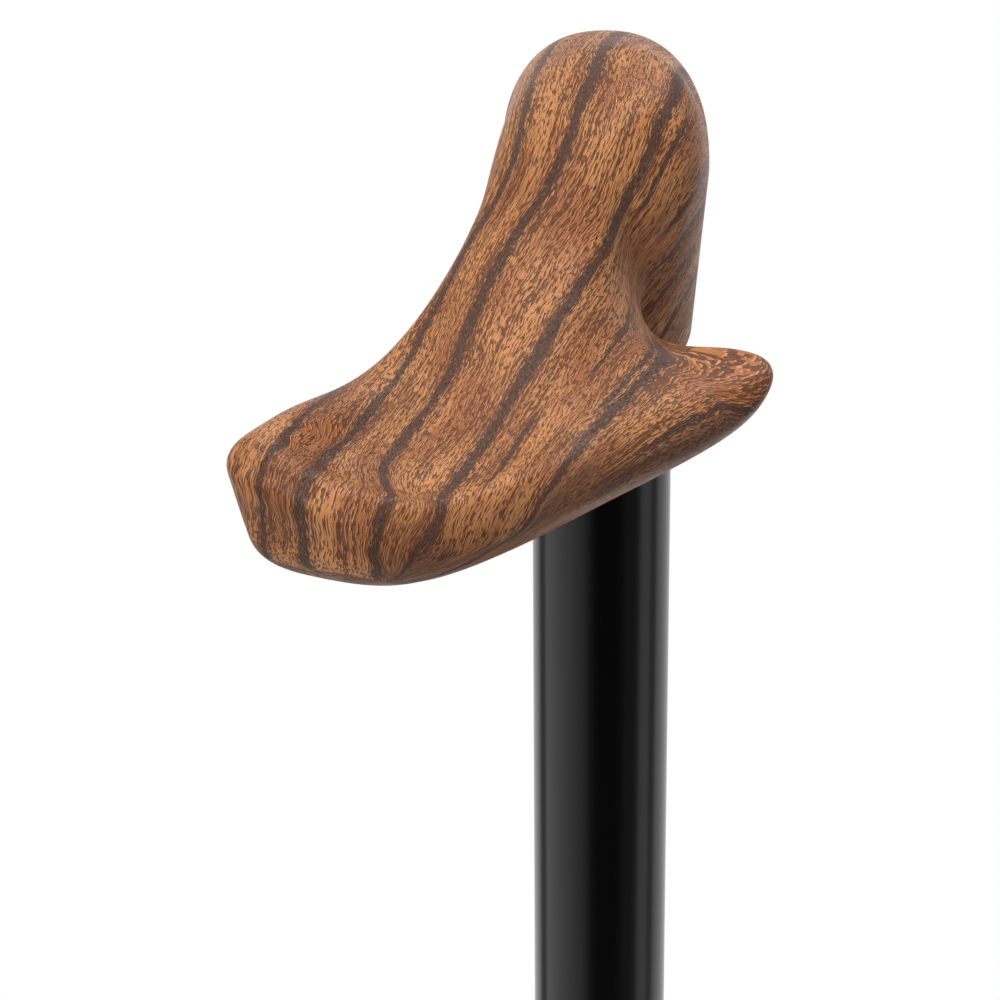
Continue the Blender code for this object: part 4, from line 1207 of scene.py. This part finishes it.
@dataclass(frozen=True)
class SkinNet:
    """Lays an even net of quads over a form."""

    low: Triple = (-33.0, -90.0, -6.8)
    high: Triple = (46.0, 40.0, 53.0)
    cell: float = 0.65
    rounds: int = 3
    probe: float = 0.02
    least_slope: float = 0.25

    def lay(self, field: Callable) -> tuple[Array, Array]:
        """Place one point in each cell that the form crosses and join them.

        Args:
            field: The form as a function of place.

        Returns:
            Points and quads of the net, on the form's surface.
        """
        counts = [int(math.ceil((top - base) / self.cell)) + 1 for base, top in zip(self.low, self.high)]
        lines = [base + self.cell * np.arange(count) for base, count in zip(self.low, counts)]
        values = field(lines[0][:, None, None], lines[1][None, :, None], lines[2][None, None, :])
        inside = values < 0
        corners = np.stack(np.meshgrid(*lines, indexing="ij"), axis=-1)
        sums = np.zeros((*(count - 1 for count in counts), 3))
        hits = np.zeros(sums.shape[:3])
        for axis in range(3):
            near, far = self.sides(axis)
            crossed = inside[near] != inside[far]
            share = np.where(crossed, values[near] / np.where(crossed, values[near] - values[far], 1), 0)
            crossing = corners[near].copy()
            crossing[..., axis] += share * self.cell
            crossing *= crossed[..., None]
            u, v = [other for other in range(3) if other != axis]
            for step_u in (0, 1):
                for step_v in (0, 1):
                    window = [slice(None)] * 3
                    window[u] = slice(step_u, counts[u] - 1 + step_u)
                    window[v] = slice(step_v, counts[v] - 1 + step_v)
                    sums += crossing[tuple(window)]
                    hits += crossed[tuple(window)]
        used = hits > 0
        number = np.full(used.shape, -1)
        number[used] = np.arange(used.sum())
        quads = []
        for axis in range(3):
            near, far = self.sides(axis)
            cells = np.argwhere(inside[near] != inside[far])
            ring = []
            for step_u, step_v in ((1, 1), (0, 1), (0, 0), (1, 0)):
                neighbour = cells.copy()
                neighbour[:, (axis + 1) % 3] -= step_u
                neighbour[:, (axis + 2) % 3] -= step_v
                ring.append(number[tuple(neighbour.T)])
            ring = np.stack(ring, axis=1)
            outwards = inside[tuple(cells.T)]
            quads.append(np.where(outwards[:, None], ring, ring[:, ::-1]))
        return self.settle(field, sums[used] / hits[used][:, None], np.concatenate(quads))

    @staticmethod
    def sides(axis: int) -> tuple[tuple[slice, ...], tuple[slice, ...]]:
        """Pick both ends of all grid lines along an axis.

        Args:
            axis: Number of the axis.

        Returns:
            Slices for the near ends and for the far ends.
        """
        near = tuple(slice(0, -1) if axis == other else slice(None) for other in range(3))
        far = tuple(slice(1, None) if axis == other else slice(None) for other in range(3))
        return near, far

    def settle(self, field: Callable, points: Array, quads: Array) -> tuple[Array, Array]:
        """Even out the net's points and move them onto the form.

        Args:
            field: The form as a function of place.
            points: Points of the net.
            quads: Its faces.

        Returns:
            The moved points, and the same quads.
        """
        starts, ends = quads.ravel(), np.roll(quads, -1, axis=1).ravel()
        for _ in range(self.rounds):
            sums = np.zeros(points.shape)
            for axis in range(3):
                sums[:, axis] += np.bincount(starts, points[ends, axis], len(points))
                sums[:, axis] += np.bincount(ends, points[starts, axis], len(points))
            hits = np.bincount(np.concatenate([starts, ends]), minlength=len(points))
            points = self.onto(field, (points + sums / hits[:, None]) / 2)
        return self.onto(field, self.onto(field, points)), quads

    def onto(self, field: Callable, points: Array) -> Array:
        """Step points once along the field's slope onto the form.

        Args:
            field: The form as a function of place.
            points: Points near the form.

        Returns:
            The points, nearer to it.
        """
        value = field(*points.T)
        slope = np.stack([(field(*(points + step).T) - value) / self.probe for step in np.eye(3) * self.probe],
                         axis=1)
        return points - (value / np.maximum((slope**2).sum(axis=1), self.least_slope))[:, None] * slope


@dataclass(frozen=True)
class FilmWrap:
    """Unrolls the grip's film: how far round and how far along it lies, in millimetres.

    The film runs along the palm and bends down over the nose and over the heel, each
    about a pivot. Across, it is measured along the surface from the line above x = 0.
    Past lobe_x the thumb lobe's tip is measured on the last section that it fills.
    """

    attribute = "film"
    nose_pivot: Pair = (9.0, 6.0)
    nose_reach: float = 30.0
    heel_rise: float = 2.0
    heel_reach: float = 13.0
    heel_x: tuple[float, ...] = (7, 13, 17.6, 21, 25, 30, 35, 40)
    heel_y: tuple[float, ...] = (-76, -74, -69, -63, -56, -44, -30, -14)
    ends: Pair = (-112.0, 60.0)
    step: float = 1.5
    turns: int = 240
    reach: float = 70.0
    halvings: int = 15
    stations: tuple[float, ...] = (-97, -76, -40, -15, 0, 9, 56)
    centre_x: tuple[float, ...] = (2, 3, 8, 5, 0, -3, -4)
    centre_rise: tuple[float, ...] = (4, 7, 8, 14, 22, 24, 8)
    lobe_x: tuple[float, ...] = (15.4, 15.5, 24.0)
    lobe_end: tuple[float, ...] = (60.0, -3.0, -24.0)

    def pivots(self, x: Array) -> tuple[tuple[float, object, float, float], ...]:
        """Side, place along, height and reach of the bends over nose and heel, by x."""
        return ((1.0, self.nose_pivot[0], self.nose_pivot[1], self.nose_reach),
                (-1.0, np.interp(x, self.heel_x, self.heel_y), self.heel_rise, self.heel_reach))

    def flatten(self, x: Array, y: Array, z: Array) -> tuple[Array, Array]:
        """Unroll points onto the film's line.

        Args:
            x: Places across.
            y: Places along.
            z: Heights.

        Returns:
            Place along the film and rise above its line.
        """
        along, rise = np.array(y, float), np.array(z, float)
        for side, pivot_y, pivot_z, reach in self.pivots(x):
            out = side * (y - pivot_y)
            along = np.where(out > 0, pivot_y + side * reach * np.arctan2(out, z - pivot_z), along)
            rise = np.where(out > 0, pivot_z + np.hypot(out, z - pivot_z), rise)
        return along, rise

    def bend(self, x: Array, along: Array, rise: Array) -> tuple[Array, Array]:
        """Bend points back from the film's line; the reverse of flatten.

        Args:
            x: Places across.
            along: Places along the film.
            rise: Rises above its line.

        Returns:
            The points' y and z.
        """
        y, z = along + 0.0 * rise, rise + 0.0 * along
        for side, pivot_y, pivot_z, reach in self.pivots(x):
            turn = side * (along - pivot_y) / reach
            y = np.where(turn > 0, pivot_y + side * (rise - pivot_z) * np.sin(turn), y)
            z = np.where(turn > 0, pivot_z + (rise - pivot_z) * np.cos(turn), z)
        return y, z

    def centre(self, along: Array) -> tuple[Array, Array]:
        """Where the sections' centres lie, inside the grip."""
        return np.interp(along, self.stations, self.centre_x), np.interp(along, self.stations, self.centre_rise)

    def table(self) -> Array:
        """Measure how far round the film lies.

        Returns:
            Millimetres from the line above x = 0, by place along the film and by angle about the centres.
        """
        if self not in FILM_TABLES:
            field = GripForm().field()
            along = np.arange(*self.ends, self.step)[:, None]
            angle = np.linspace(-math.pi, math.pi, self.turns + 1)[None, :]
            centre_x, centre_rise = self.centre(along)
            low, high = np.zeros((len(along), self.turns + 1)), np.full((len(along), self.turns + 1), self.reach)
            for _ in range(self.halvings):
                middle = (low + high) / 2
                x = centre_x + middle * np.sin(angle)
                y, z = self.bend(x, along, centre_rise + middle * np.cos(angle))
                solid = field(x, y, z) < 0
                low, high = np.where(solid, middle, low), np.where(solid, high, middle)
            x, rise = centre_x + low * np.sin(angle), centre_rise + low * np.cos(angle)
            arcs = np.hypot(np.diff(x, axis=1), np.diff(rise, axis=1)).cumsum(axis=1)
            arcs = np.concatenate([np.zeros((len(along), 1)), arcs], axis=1)
            upper = slice(self.turns // 4 + 1, 3 * self.turns // 4)
            zero = [np.interp(0.0, line[upper], arc[upper]) for line, arc in zip(x, arcs)]
            FILM_TABLES[self] = arcs - np.array(zero)[:, None]
        return FILM_TABLES[self]

    def roll(self, points: Array) -> Array:
        """Give each point of the surface its place round and along the film.

        Args:
            points: Points in the grip's millimetres.

        Returns:
            Place round, place along and 0 for each point.
        """
        table = self.table()
        along, rise = self.flatten(*points.T)
        section = np.minimum(along, np.interp(points[:, 0], self.lobe_x, self.lobe_end))
        centre_x, centre_rise = self.centre(section)
        angle = np.arctan2(points[:, 0] - centre_x, rise - centre_rise)
        row = np.clip((section - self.ends[0]) / self.step, 0, len(table) - 1.001)
        column = np.clip((angle + math.pi) / (2 * math.pi) * self.turns, 0, self.turns - 0.001)
        i, j = row.astype(int), column.astype(int)
        s, t = row - i, column - j
        around = ((1 - s) * ((1 - t) * table[i, j] + t * table[i, j + 1])
                  + s * ((1 - t) * table[i + 1, j] + t * table[i + 1, j + 1]))
        return np.stack([around, along, 0.0 * along], axis=1)

    def mark(self, mesh: bpy.types.Mesh, base: float) -> None:
        """Write the film's places on the grip's mesh.

        Args:
            mesh: The mesh, in metres.
            base: Height where its neck starts.
        """
        points = np.empty(len(mesh.vertices) * 3)
        mesh.vertices.foreach_get("co", points)
        places = self.roll((points.reshape(-1, 3) - (0.0, 0.0, base)) / MM)
        layer = mesh.attributes.new(self.attribute, "FLOAT_VECTOR", "POINT")
        layer.data.foreach_set("vector", places.ravel())


FILM_TABLES: dict[FilmWrap, Array] = {}


@dataclass
class Grip:
    """The one-piece grip with its blind socket."""

    paints: Paints
    base: float = 0.8448
    socket_radius: float = 0.0113
    socket_ceiling: float = 0.8708
    socket_sides: int = 96
    insert_hole: float = 0.00515
    insert_top: float = 0.8791
    below: float = 0.02
    inwards: float = 0.04
    quick_cell: float = 1.3
    sharp: float = 60.0

    def build(self) -> None:
        """Build the skin finer than the CAD node, and cut the socket."""
        field = GripForm().field()
        net = SkinNet()
        points, quads = net.lay(lambda x, y, z: field(x, y, z) + self.inwards)
        grip = make_mesh("grip", points * MM + np.array((0.0, 0.0, self.base)), quads)
        bottom = self.base - self.below
        profile = ((0, bottom), (self.socket_radius, bottom), (self.socket_radius, self.socket_ceiling),
                   (self.insert_hole, self.socket_ceiling), (self.insert_hole, self.insert_top), (0, self.insert_top))
        socket = turned("socket", profile, self.socket_sides)
        cut = grip.modifiers.new("socket", "BOOLEAN")
        cut.operation, cut.solver, cut.object = "DIFFERENCE", "EXACT", socket
        keep_modified(grip)
        bpy.data.objects.remove(socket)
        smooth(grip.data, self.sharp)
        FilmWrap().mark(grip.data, self.base)
        show(grip, Body.TOP, Finish.WOOD_FILM, self.paints, "handle_body")


# The shaft

@dataclass
class Tube:
    """One drawn tube with a row of holes on the side away from the nose."""

    node: str
    name: str
    body: Body
    radius: float
    wall: float
    holes: int
    first: float
    pitch: float = 0.0254
    hole_radius: float = 0.00325
    edge: float = 0.00025
    sides: int = 128

    def build(self, paints: Paints) -> None:
        """Draw the tube between the heights of its CAD node and drill it.

        Args:
            paints: The finishes.
        """
        low, high = (corner.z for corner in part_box(self.node))
        bore = self.radius - self.wall
        corners = ((bore, low), (self.radius, low), (self.radius, high), (bore, high))
        tube = turned(self.name, eased(corners, self.edge, 3, closed=True), self.sides)
        row = WallHoles(self.holes, self.pitch, self.first, self.hole_radius, self.radius * 2)
        row.bake(tube, paints.get(Finish.ANODISED))
        smooth(tube.data)
        show(tube, self.body, Finish.ANODISED, paints, self.node)


@dataclass
class HeightLock:
    """The threaded sleeve and the locking collar on it."""

    paints: Paints
    sides: int = 128
    thread_low: float = 0.3733
    thread_high: float = 0.3863
    thread_pitch: float = 0.0025
    thread_depth: float = 0.0009
    thread_mean: float = 0.01295
    guide: float = 0.00975
    bore: float = 0.0113
    shoulder: float = 0.0125
    stop_low: float = 0.3866
    stop_high: float = 0.3891
    stop_radius: float = 0.0147
    barrel: float = 0.0131
    edge: float = 0.0005
    collar_bore: float = 0.01375
    collar_radius: float = 0.01615
    collar_mouth: float = 0.0100
    collar_rib: float = 0.0006
    collar_ribs: int = 16
    collar_chamfers: Pair = (0.0012, 0.0006)
    clearance: float = 0.00035
    collar_rows: int = 24
    seat: tuple[float, float, float, float] = (0.0111, 0.3659, 0.0131, 0.3727)
    slack: float = 0.0001
    flute_reach: float = 0.0002
    stop_round: float = 0.0004
    foot_round: float = 0.0006
    head_round: float = 0.0003

    def thread_line(self, mean: float, root: float, rows: int = 80) -> list[Pair]:
        """Middle line of a thread, upwards, which runs out to the thread's root at both ends.

        Args:
            mean: Radius halfway between root and crest.
            root: Radius of the root.
            rows: Steps in the line.

        Returns:
            Radius and height of each corner.
        """
        fade = self.thread_pitch / 2
        line = []
        for row in range(rows + 1):
            height = self.thread_low + row * (self.thread_high - self.thread_low) / rows
            share = min(1.0, (height - self.thread_low) / fade, (self.thread_high - height) / fade)
            line.append((root + (mean - root) * share, height))
        return line

    def raise_thread(self, piece: bpy.types.Object, name: str, inner: float, outer: float) -> None:
        """Raise a thread on the part of a piece that lies between two radii.

        Args:
            piece: The sleeve or the collar.
            name: Name of the node tree.
            inner: Smallest radius of the part.
            outer: Largest radius of the part.
        """
        turns = Waves(name, self.thread_low, self.thread_high, self.thread_pitch / 2, inner - self.slack,
                      outer + self.slack, self.thread_depth, 1, self.thread_pitch)
        turns.bake(piece, self.paints.get(Finish.BLACK_PLASTIC))

    def build_sleeve(self) -> None:
        """Turn the sleeve and raise the thread on it."""
        low, high = (corner.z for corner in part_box("threaded_sleeve"))
        root = self.thread_mean - self.thread_depth / 2
        stop = eased(((root, self.stop_low), (self.stop_radius, self.stop_low), (self.stop_radius, self.stop_high),
                      (self.barrel, self.stop_high)), self.stop_round)
        barrel = eased(((self.barrel, self.stop_high), (self.barrel, high), (self.bore, high)), self.edge)
        profile = [(self.guide, low), (root, low), (root, self.thread_low - self.edge / 4),
                   *self.thread_line(self.thread_mean, root), (root, self.thread_high + self.edge / 4),
                   (root, self.stop_low), *stop[1:], *barrel[1:], (self.bore, low + self.shoulder),
                   (self.guide, low + self.shoulder)]
        sleeve = turned("sleeve_with_thread", profile, self.sides)
        self.raise_thread(sleeve, "thread_turns", root, self.thread_mean)
        show(sleeve, Body.TOP, Finish.BLACK_PLASTIC, self.paints, "threaded_sleeve")

    def build_collar(self) -> None:
        """Turn the collar, thread it inside and flute it outside."""
        low, high = (corner.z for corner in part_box("locking_collar"))
        out, (foot, head) = self.collar_radius, self.collar_chamfers
        side = [(out, low + foot + (high - head - low - foot) * row / self.collar_rows)
                for row in range(self.collar_rows + 1)]
        mean = self.thread_mean + self.clearance
        root = mean + self.thread_depth / 2
        narrow, seat_low, wide, seat_high = self.seat
        bottom = eased(((self.collar_mouth, low), (out - foot, low), side[0]), self.foot_round)
        top = eased((side[-1], (out - foot, high), (self.collar_bore, high)), self.head_round, 3)
        profile = [(self.collar_mouth, low), *bottom[1:], *side[1:-1], *top[:-1],
                   *self.thread_line(mean, root)[::-1], (self.collar_bore, self.thread_low - self.edge / 4),
                   (wide, seat_high), (narrow, seat_low), (self.collar_mouth, seat_low)]
        collar = turned("fluted_collar", profile, self.sides)
        self.raise_thread(collar, "inner_thread", mean, root)
        flutes = Waves("grip_flutes", low + foot / 2, high - head / 2, foot, out - self.flute_reach,
                       out + self.flute_reach, self.collar_rib, self.collar_ribs, 0.0)
        flutes.bake(collar, self.paints.get(Finish.BLACK_PLASTIC))
        show(collar, Body.COLLAR, Finish.BLACK_PLASTIC, self.paints, "locking_collar")


@dataclass
class SnapButton:
    """The height button in the lower tube."""

    paints: Paints
    level: float = 0.5
    radius: float = 0.0030
    flange_radius: float = 0.0039
    flange: float = 0.0010
    dome: float = 0.0010
    dome_steps: int = 10
    sides: int = 64

    def build(self) -> None:
        """Turn the button with a domed tip."""
        low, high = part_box("height_button")
        tip, foot = -low.y, -high.y
        dome = [(self.radius * math.cos(turn), tip - self.dome + self.dome * math.sin(turn))
                for turn in (math.pi / 2 * step / self.dome_steps for step in range(self.dome_steps))]
        profile = [(0.0, foot), (self.flange_radius, foot), (self.flange_radius, foot + self.flange),
                   (self.radius, foot + self.flange), *dome, (0.0, tip)]
        button = turned("snap_button_pin", profile, self.sides, self.level, "-Y")
        show(button, Body.BUTTON, Finish.ZINC, self.paints, "height_button")


@dataclass
class Foot:
    """The rubber ferrule with its ringed tread."""

    paints: Paints
    sides: int = 128
    bore: float = 0.0098
    floor: float = 0.0040
    height: float = 0.0450
    foot: float = 0.0190
    neck: float = 0.0132
    edge_level: float = 0.0018
    rim_level: float = 0.0041
    bell_level: float = 0.0252
    bell_curve: float = 1.6
    bell_steps: int = 24
    lands: Line = ((0.0, 0.0060), (0.0084, 0.0110), (0.0134, 0.0172))
    groove: float = 0.0012
    groove_wall: float = 0.0003
    rib_levels: tuple[float, ...] = (0.0288, 0.0342)
    rib: float = 0.0012
    rib_width: float = 0.0027
    rib_fullness: float = 0.6
    lip_level: float = 0.0405
    lip: float = 0.0006
    tread_round: float = 0.0004
    rim_round: float = 0.0009
    lip_round: float = 0.0006

    def tread(self) -> list[Pair]:
        """Profile of the foot's rings.

        Returns:
            Radius and height of each corner, from the middle out.
        """
        rings: list[Pair] = []
        for inner, outer in self.lands:
            if rings:
                rings += [(rings[-1][0] + self.groove_wall, self.groove), (inner - self.groove_wall, self.groove)]
            rings += [(inner, 0.0), (outer, 0.0)]
        return rings

    def rib_bump(self, level: float, steps: int = 8) -> list[Pair]:
        """Half-round rib on the neck from a level up."""
        return [(self.neck + self.rib * math.sin(math.pi * step / steps)**self.rib_fullness,
                 level + self.rib_width * step / steps) for step in range(steps + 1)]

    def build(self) -> None:
        """Turn the ferrule from its tread up to its lip."""
        bell = [(self.neck + (self.foot - self.neck) * (1 - t)**self.bell_curve,
                 self.rim_level + (self.bell_level - self.rim_level) * t)
                for t in (step / self.bell_steps for step in range(1, self.bell_steps + 1))]
        ribs = [point for level in self.rib_levels for point in self.rib_bump(level)]
        tread = eased(self.tread(), self.tread_round, 3)
        side = (tread[-1], (self.foot, self.edge_level), (self.foot, self.rim_level), bell[0])
        rim = eased(side, self.rim_round, 5)
        lip = ((self.neck, self.lip_level), (self.neck + self.lip, self.lip_level + 2 * self.lip),
               (self.neck, self.height), (self.bore, self.height), (self.bore, self.floor), (0.0, self.floor))
        top = eased(lip, self.lip_round)
        ferrule = turned("rubber_foot", [*tread, *rim[1:], *bell[1:], *ribs, *top], self.sides)
        show(ferrule, Body.SHAFT, Finish.RUBBER, self.paints, "ferrule")


# The studio

@dataclass(frozen=True)
class Lamp:
    """A soft box."""

    name: str
    place: Triple
    power: float
    aim: Triple = (0.0, -0.02, 0.85)
    size: Pair = (0.9, 0.9)

    def hang(self) -> None:
        """Put the lamp in the scene, turned to what it lights."""
        light = bpy.data.lights.new(self.name, "AREA")
        light.shape = "RECTANGLE"
        light.size, light.size_y = self.size
        light.energy = self.power
        lamp = bpy.data.objects.new(self.name, light)
        bpy.context.collection.objects.link(lamp)
        lamp.location = self.place
        lamp.rotation_euler = (Vector(self.aim) - Vector(self.place)).to_track_quat("-Z", "Y").to_euler()


@dataclass
class Studio:
    """Pale floor, white surroundings, soft lamps and the camera of the photograph."""

    floor_size: float = 30.0
    floor_colour: Triple = (0.72, 0.72, 0.72)
    floor_shade: float = 0.98
    floor_roughness: float = 0.8
    floor_grain: Grain = Grain((40.0, 40.0, 0.0), 3.0)
    white: tuple[float, float, float, float] = (1.0, 1.0, 1.0, 1.0)
    shadow_reach: Pair = (0.45, 0.85)
    surround: float = 0.23
    # Reflection sheet: a black ring on the floor that only mirroring surfaces show, painting dark reflections; its
    # blackness is set by bearing from the camera's side
    reflection_sheet_reach: Pair = (0.5, 3.5)
    reflection_sheet_height: float = 0.002
    reflection_sheet_sides: int = 96
    reflection_sheet_colour: tuple[float, float, float, float] = (0.004, 0.004, 0.004, 1.0)
    reflection_sheet_shade: Line = (
        (-145, 0.0), (-131, 0.1), (-113, 0.75), (-99, 0.0), (-87, 0.0), (-65, 0.15), (-40, 0.45), (-28, 0.63),
        (-19, 0.84), (-10, 0.97), (33, 0.97), (42, 0.90), (51, 0.90), (61, 0.83), (71, 0.35), (82, 0.35),
        (94, 0.74), (107, 0.26), (123, 0.1), (145, 0.0))
    azimuth: float = 30.0
    elevation: float = 32.0
    camera_place: Triple = (0.32755, -0.57801, 1.23257)
    lens: float = 176.6
    shift: float = -0.068
    sensor: float = 36.0
    clip: Pair = (0.01, 100.0)
    lamps: tuple[Lamp, ...] = (
        Lamp("front_box", (-0.24, -1.65, 1.45), 14.0),
        Lamp("left_box", (-0.39, -1.07, 2.19), 5.5),
        Lamp("back_box", (0.01, 1.10, 2.19), 10.5),
        Lamp("top_box", (0.0, -0.02, 2.60), 13.5),
    )

    def seen_share(self, graph: Graph) -> Signal:
        """Tell what is seen from what only lights the object.

        Args:
            graph: The tree that asks.

        Returns:
            1 for what is seen directly, in a mirror or through glass, 0 for light on the object.
        """
        path = graph.put("ShaderNodeLightPath")
        seen = graph.math("MAXIMUM", graph.out(path, "Is Camera Ray"), graph.out(path, "Is Glossy Ray"))
        return graph.math("MAXIMUM", seen, graph.out(path, "Is Transmission Ray"))

    def build_world(self) -> None:
        """Light the scene evenly, with a white surrounding where it is seen."""
        world = bpy.data.worlds.new("surround")
        bpy.context.scene.world = world
        world.use_nodes = True
        world.node_tree.nodes.clear()
        graph = Graph(world.node_tree)
        strength = self.seen_share(graph) * (1.0 - self.surround) + self.surround
        shade = graph.put("ShaderNodeBackground", {"Color": self.white, "Strength": strength})
        graph.put("ShaderNodeOutputWorld", {"Surface": shade.outputs[0]})

    def build_floor(self) -> None:
        """Lay a pale floor under the foot, with the shadow near the stick and white farther off."""
        half = self.floor_size / 2
        floor = make_mesh("floor", [(-half, -half, 0), (half, -half, 0), (half, half, 0), (-half, half, 0)],
                          [(0, 1, 2, 3)])
        material, graph = blank_material("pale_floor")
        place = graph.own_place()
        x, y, _ = graph.split(place)
        away = graph.span(graph.math("SQRT", x * x + y * y), *self.shadow_reach)
        darker = tuple(self.floor_shade * part for part in self.floor_colour)
        pale = graph.put("ShaderNodeBsdfPrincipled", {
            "Base Color": graph.tint(self.floor_grain.read(graph, place), darker, self.floor_colour),
            "Roughness": self.floor_roughness})
        white = graph.put("ShaderNodeEmission", {"Color": self.white, "Strength": 1.0})
        share = away * self.seen_share(graph)
        graph.surface(graph.put("ShaderNodeMixShader", {0: share, 1: pale.outputs[0], 2: white.outputs[0]}))
        floor.data.materials.append(material)
        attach(floor, Body.SHAFT.value)

    def build_reflection_sheet(self) -> None:
        """Lay a black sheet before the stick, which only its mirroring surfaces show: a painted dark reflection,
        blackest on the camera's side.
        """
        sides = self.reflection_sheet_sides
        rings = [(radius * math.cos(math.tau * side / sides), radius * math.sin(math.tau * side / sides),
                  self.reflection_sheet_height) for radius in self.reflection_sheet_reach for side in range(sides)]
        faces = [(side, sides + side, sides + (side + 1) % sides, (side + 1) % sides) for side in range(sides)]
        reflection_sheet = make_mesh("dark_reflection_sheet", rings, faces)
        material, graph = blank_material("painted_dark_reflection")
        x, y, _ = graph.split(graph.own_place())
        turn = math.radians(self.azimuth)
        across = x * math.cos(turn) + y * math.sin(turn)
        towards = x * math.sin(turn) - y * math.cos(turn)
        bearing = graph.math("DEGREES", graph.math("ARCTAN2", across, towards))
        dark_reflection = graph.put("ShaderNodeBsdfDiffuse", {"Color": self.reflection_sheet_colour})
        clear = graph.put("ShaderNodeBsdfTransparent")
        # Painted dark reflection: how black the sheet is, by bearing round the stick
        share = graph.curve(bearing, self.reflection_sheet_shade)
        graph.surface(graph.put("ShaderNodeMixShader", {0: share, 1: clear.outputs[0], 2: dark_reflection.outputs[0]}))
        reflection_sheet.data.materials.append(material)
        reflection_sheet.visible_camera = reflection_sheet.visible_diffuse = reflection_sheet.visible_transmission = reflection_sheet.visible_shadow = False
        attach(reflection_sheet, Body.SHAFT.value)

    def build_camera(self) -> None:
        """Put the camera where the photograph was taken from."""
        turn, rise = math.radians(self.azimuth), math.radians(self.elevation)
        right = Vector((math.cos(turn), math.sin(turn), 0.0))
        ahead = Vector((-math.sin(turn) * math.cos(rise), math.cos(turn) * math.cos(rise), -math.sin(rise)))
        up = right.cross(ahead)
        data = bpy.data.cameras.new("camera")
        data.lens, data.sensor_width, data.shift_x = self.lens, self.sensor, self.shift
        data.clip_start, data.clip_end = self.clip
        camera = bpy.data.objects.new("camera", data)
        bpy.context.collection.objects.link(camera)
        turned_to = Matrix((right, up, -ahead)).transposed().to_4x4()
        camera.matrix_world = Matrix.Translation(self.camera_place) @ turned_to
        bpy.context.scene.camera = camera

    def build(self) -> None:
        """Set up everything round the object."""
        self.build_world()
        self.build_floor()
        self.build_reflection_sheet()
        self.build_camera()
        for lamp in self.lamps:
            lamp.hang()
        bpy.context.scene.view_settings.view_transform = "Standard"


def main() -> None:
    """Build the studio, then build and dress the whole stick."""
    logging.basicConfig(level=logging.INFO, format="%(message)s")
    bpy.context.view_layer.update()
    Studio().build()
    paints = Paints()
    Grip(paints).build()
    Tube("upper_tube", "upper_tube_drawn", Body.TOP, 0.0110, 0.0012, 7, 0.4238).build(paints)
    Tube("lower_tube", "lower_tube_drawn", Body.SHAFT, 0.0095, 0.0012, 1, 0.5).build(paints)
    lock = HeightLock(paints)
    lock.build_sleeve()
    lock.build_collar()
    SnapButton(paints).build()
    Foot(paints).build()
    dress_carried_over(paints)


if __name__ == "__main__":
    main()
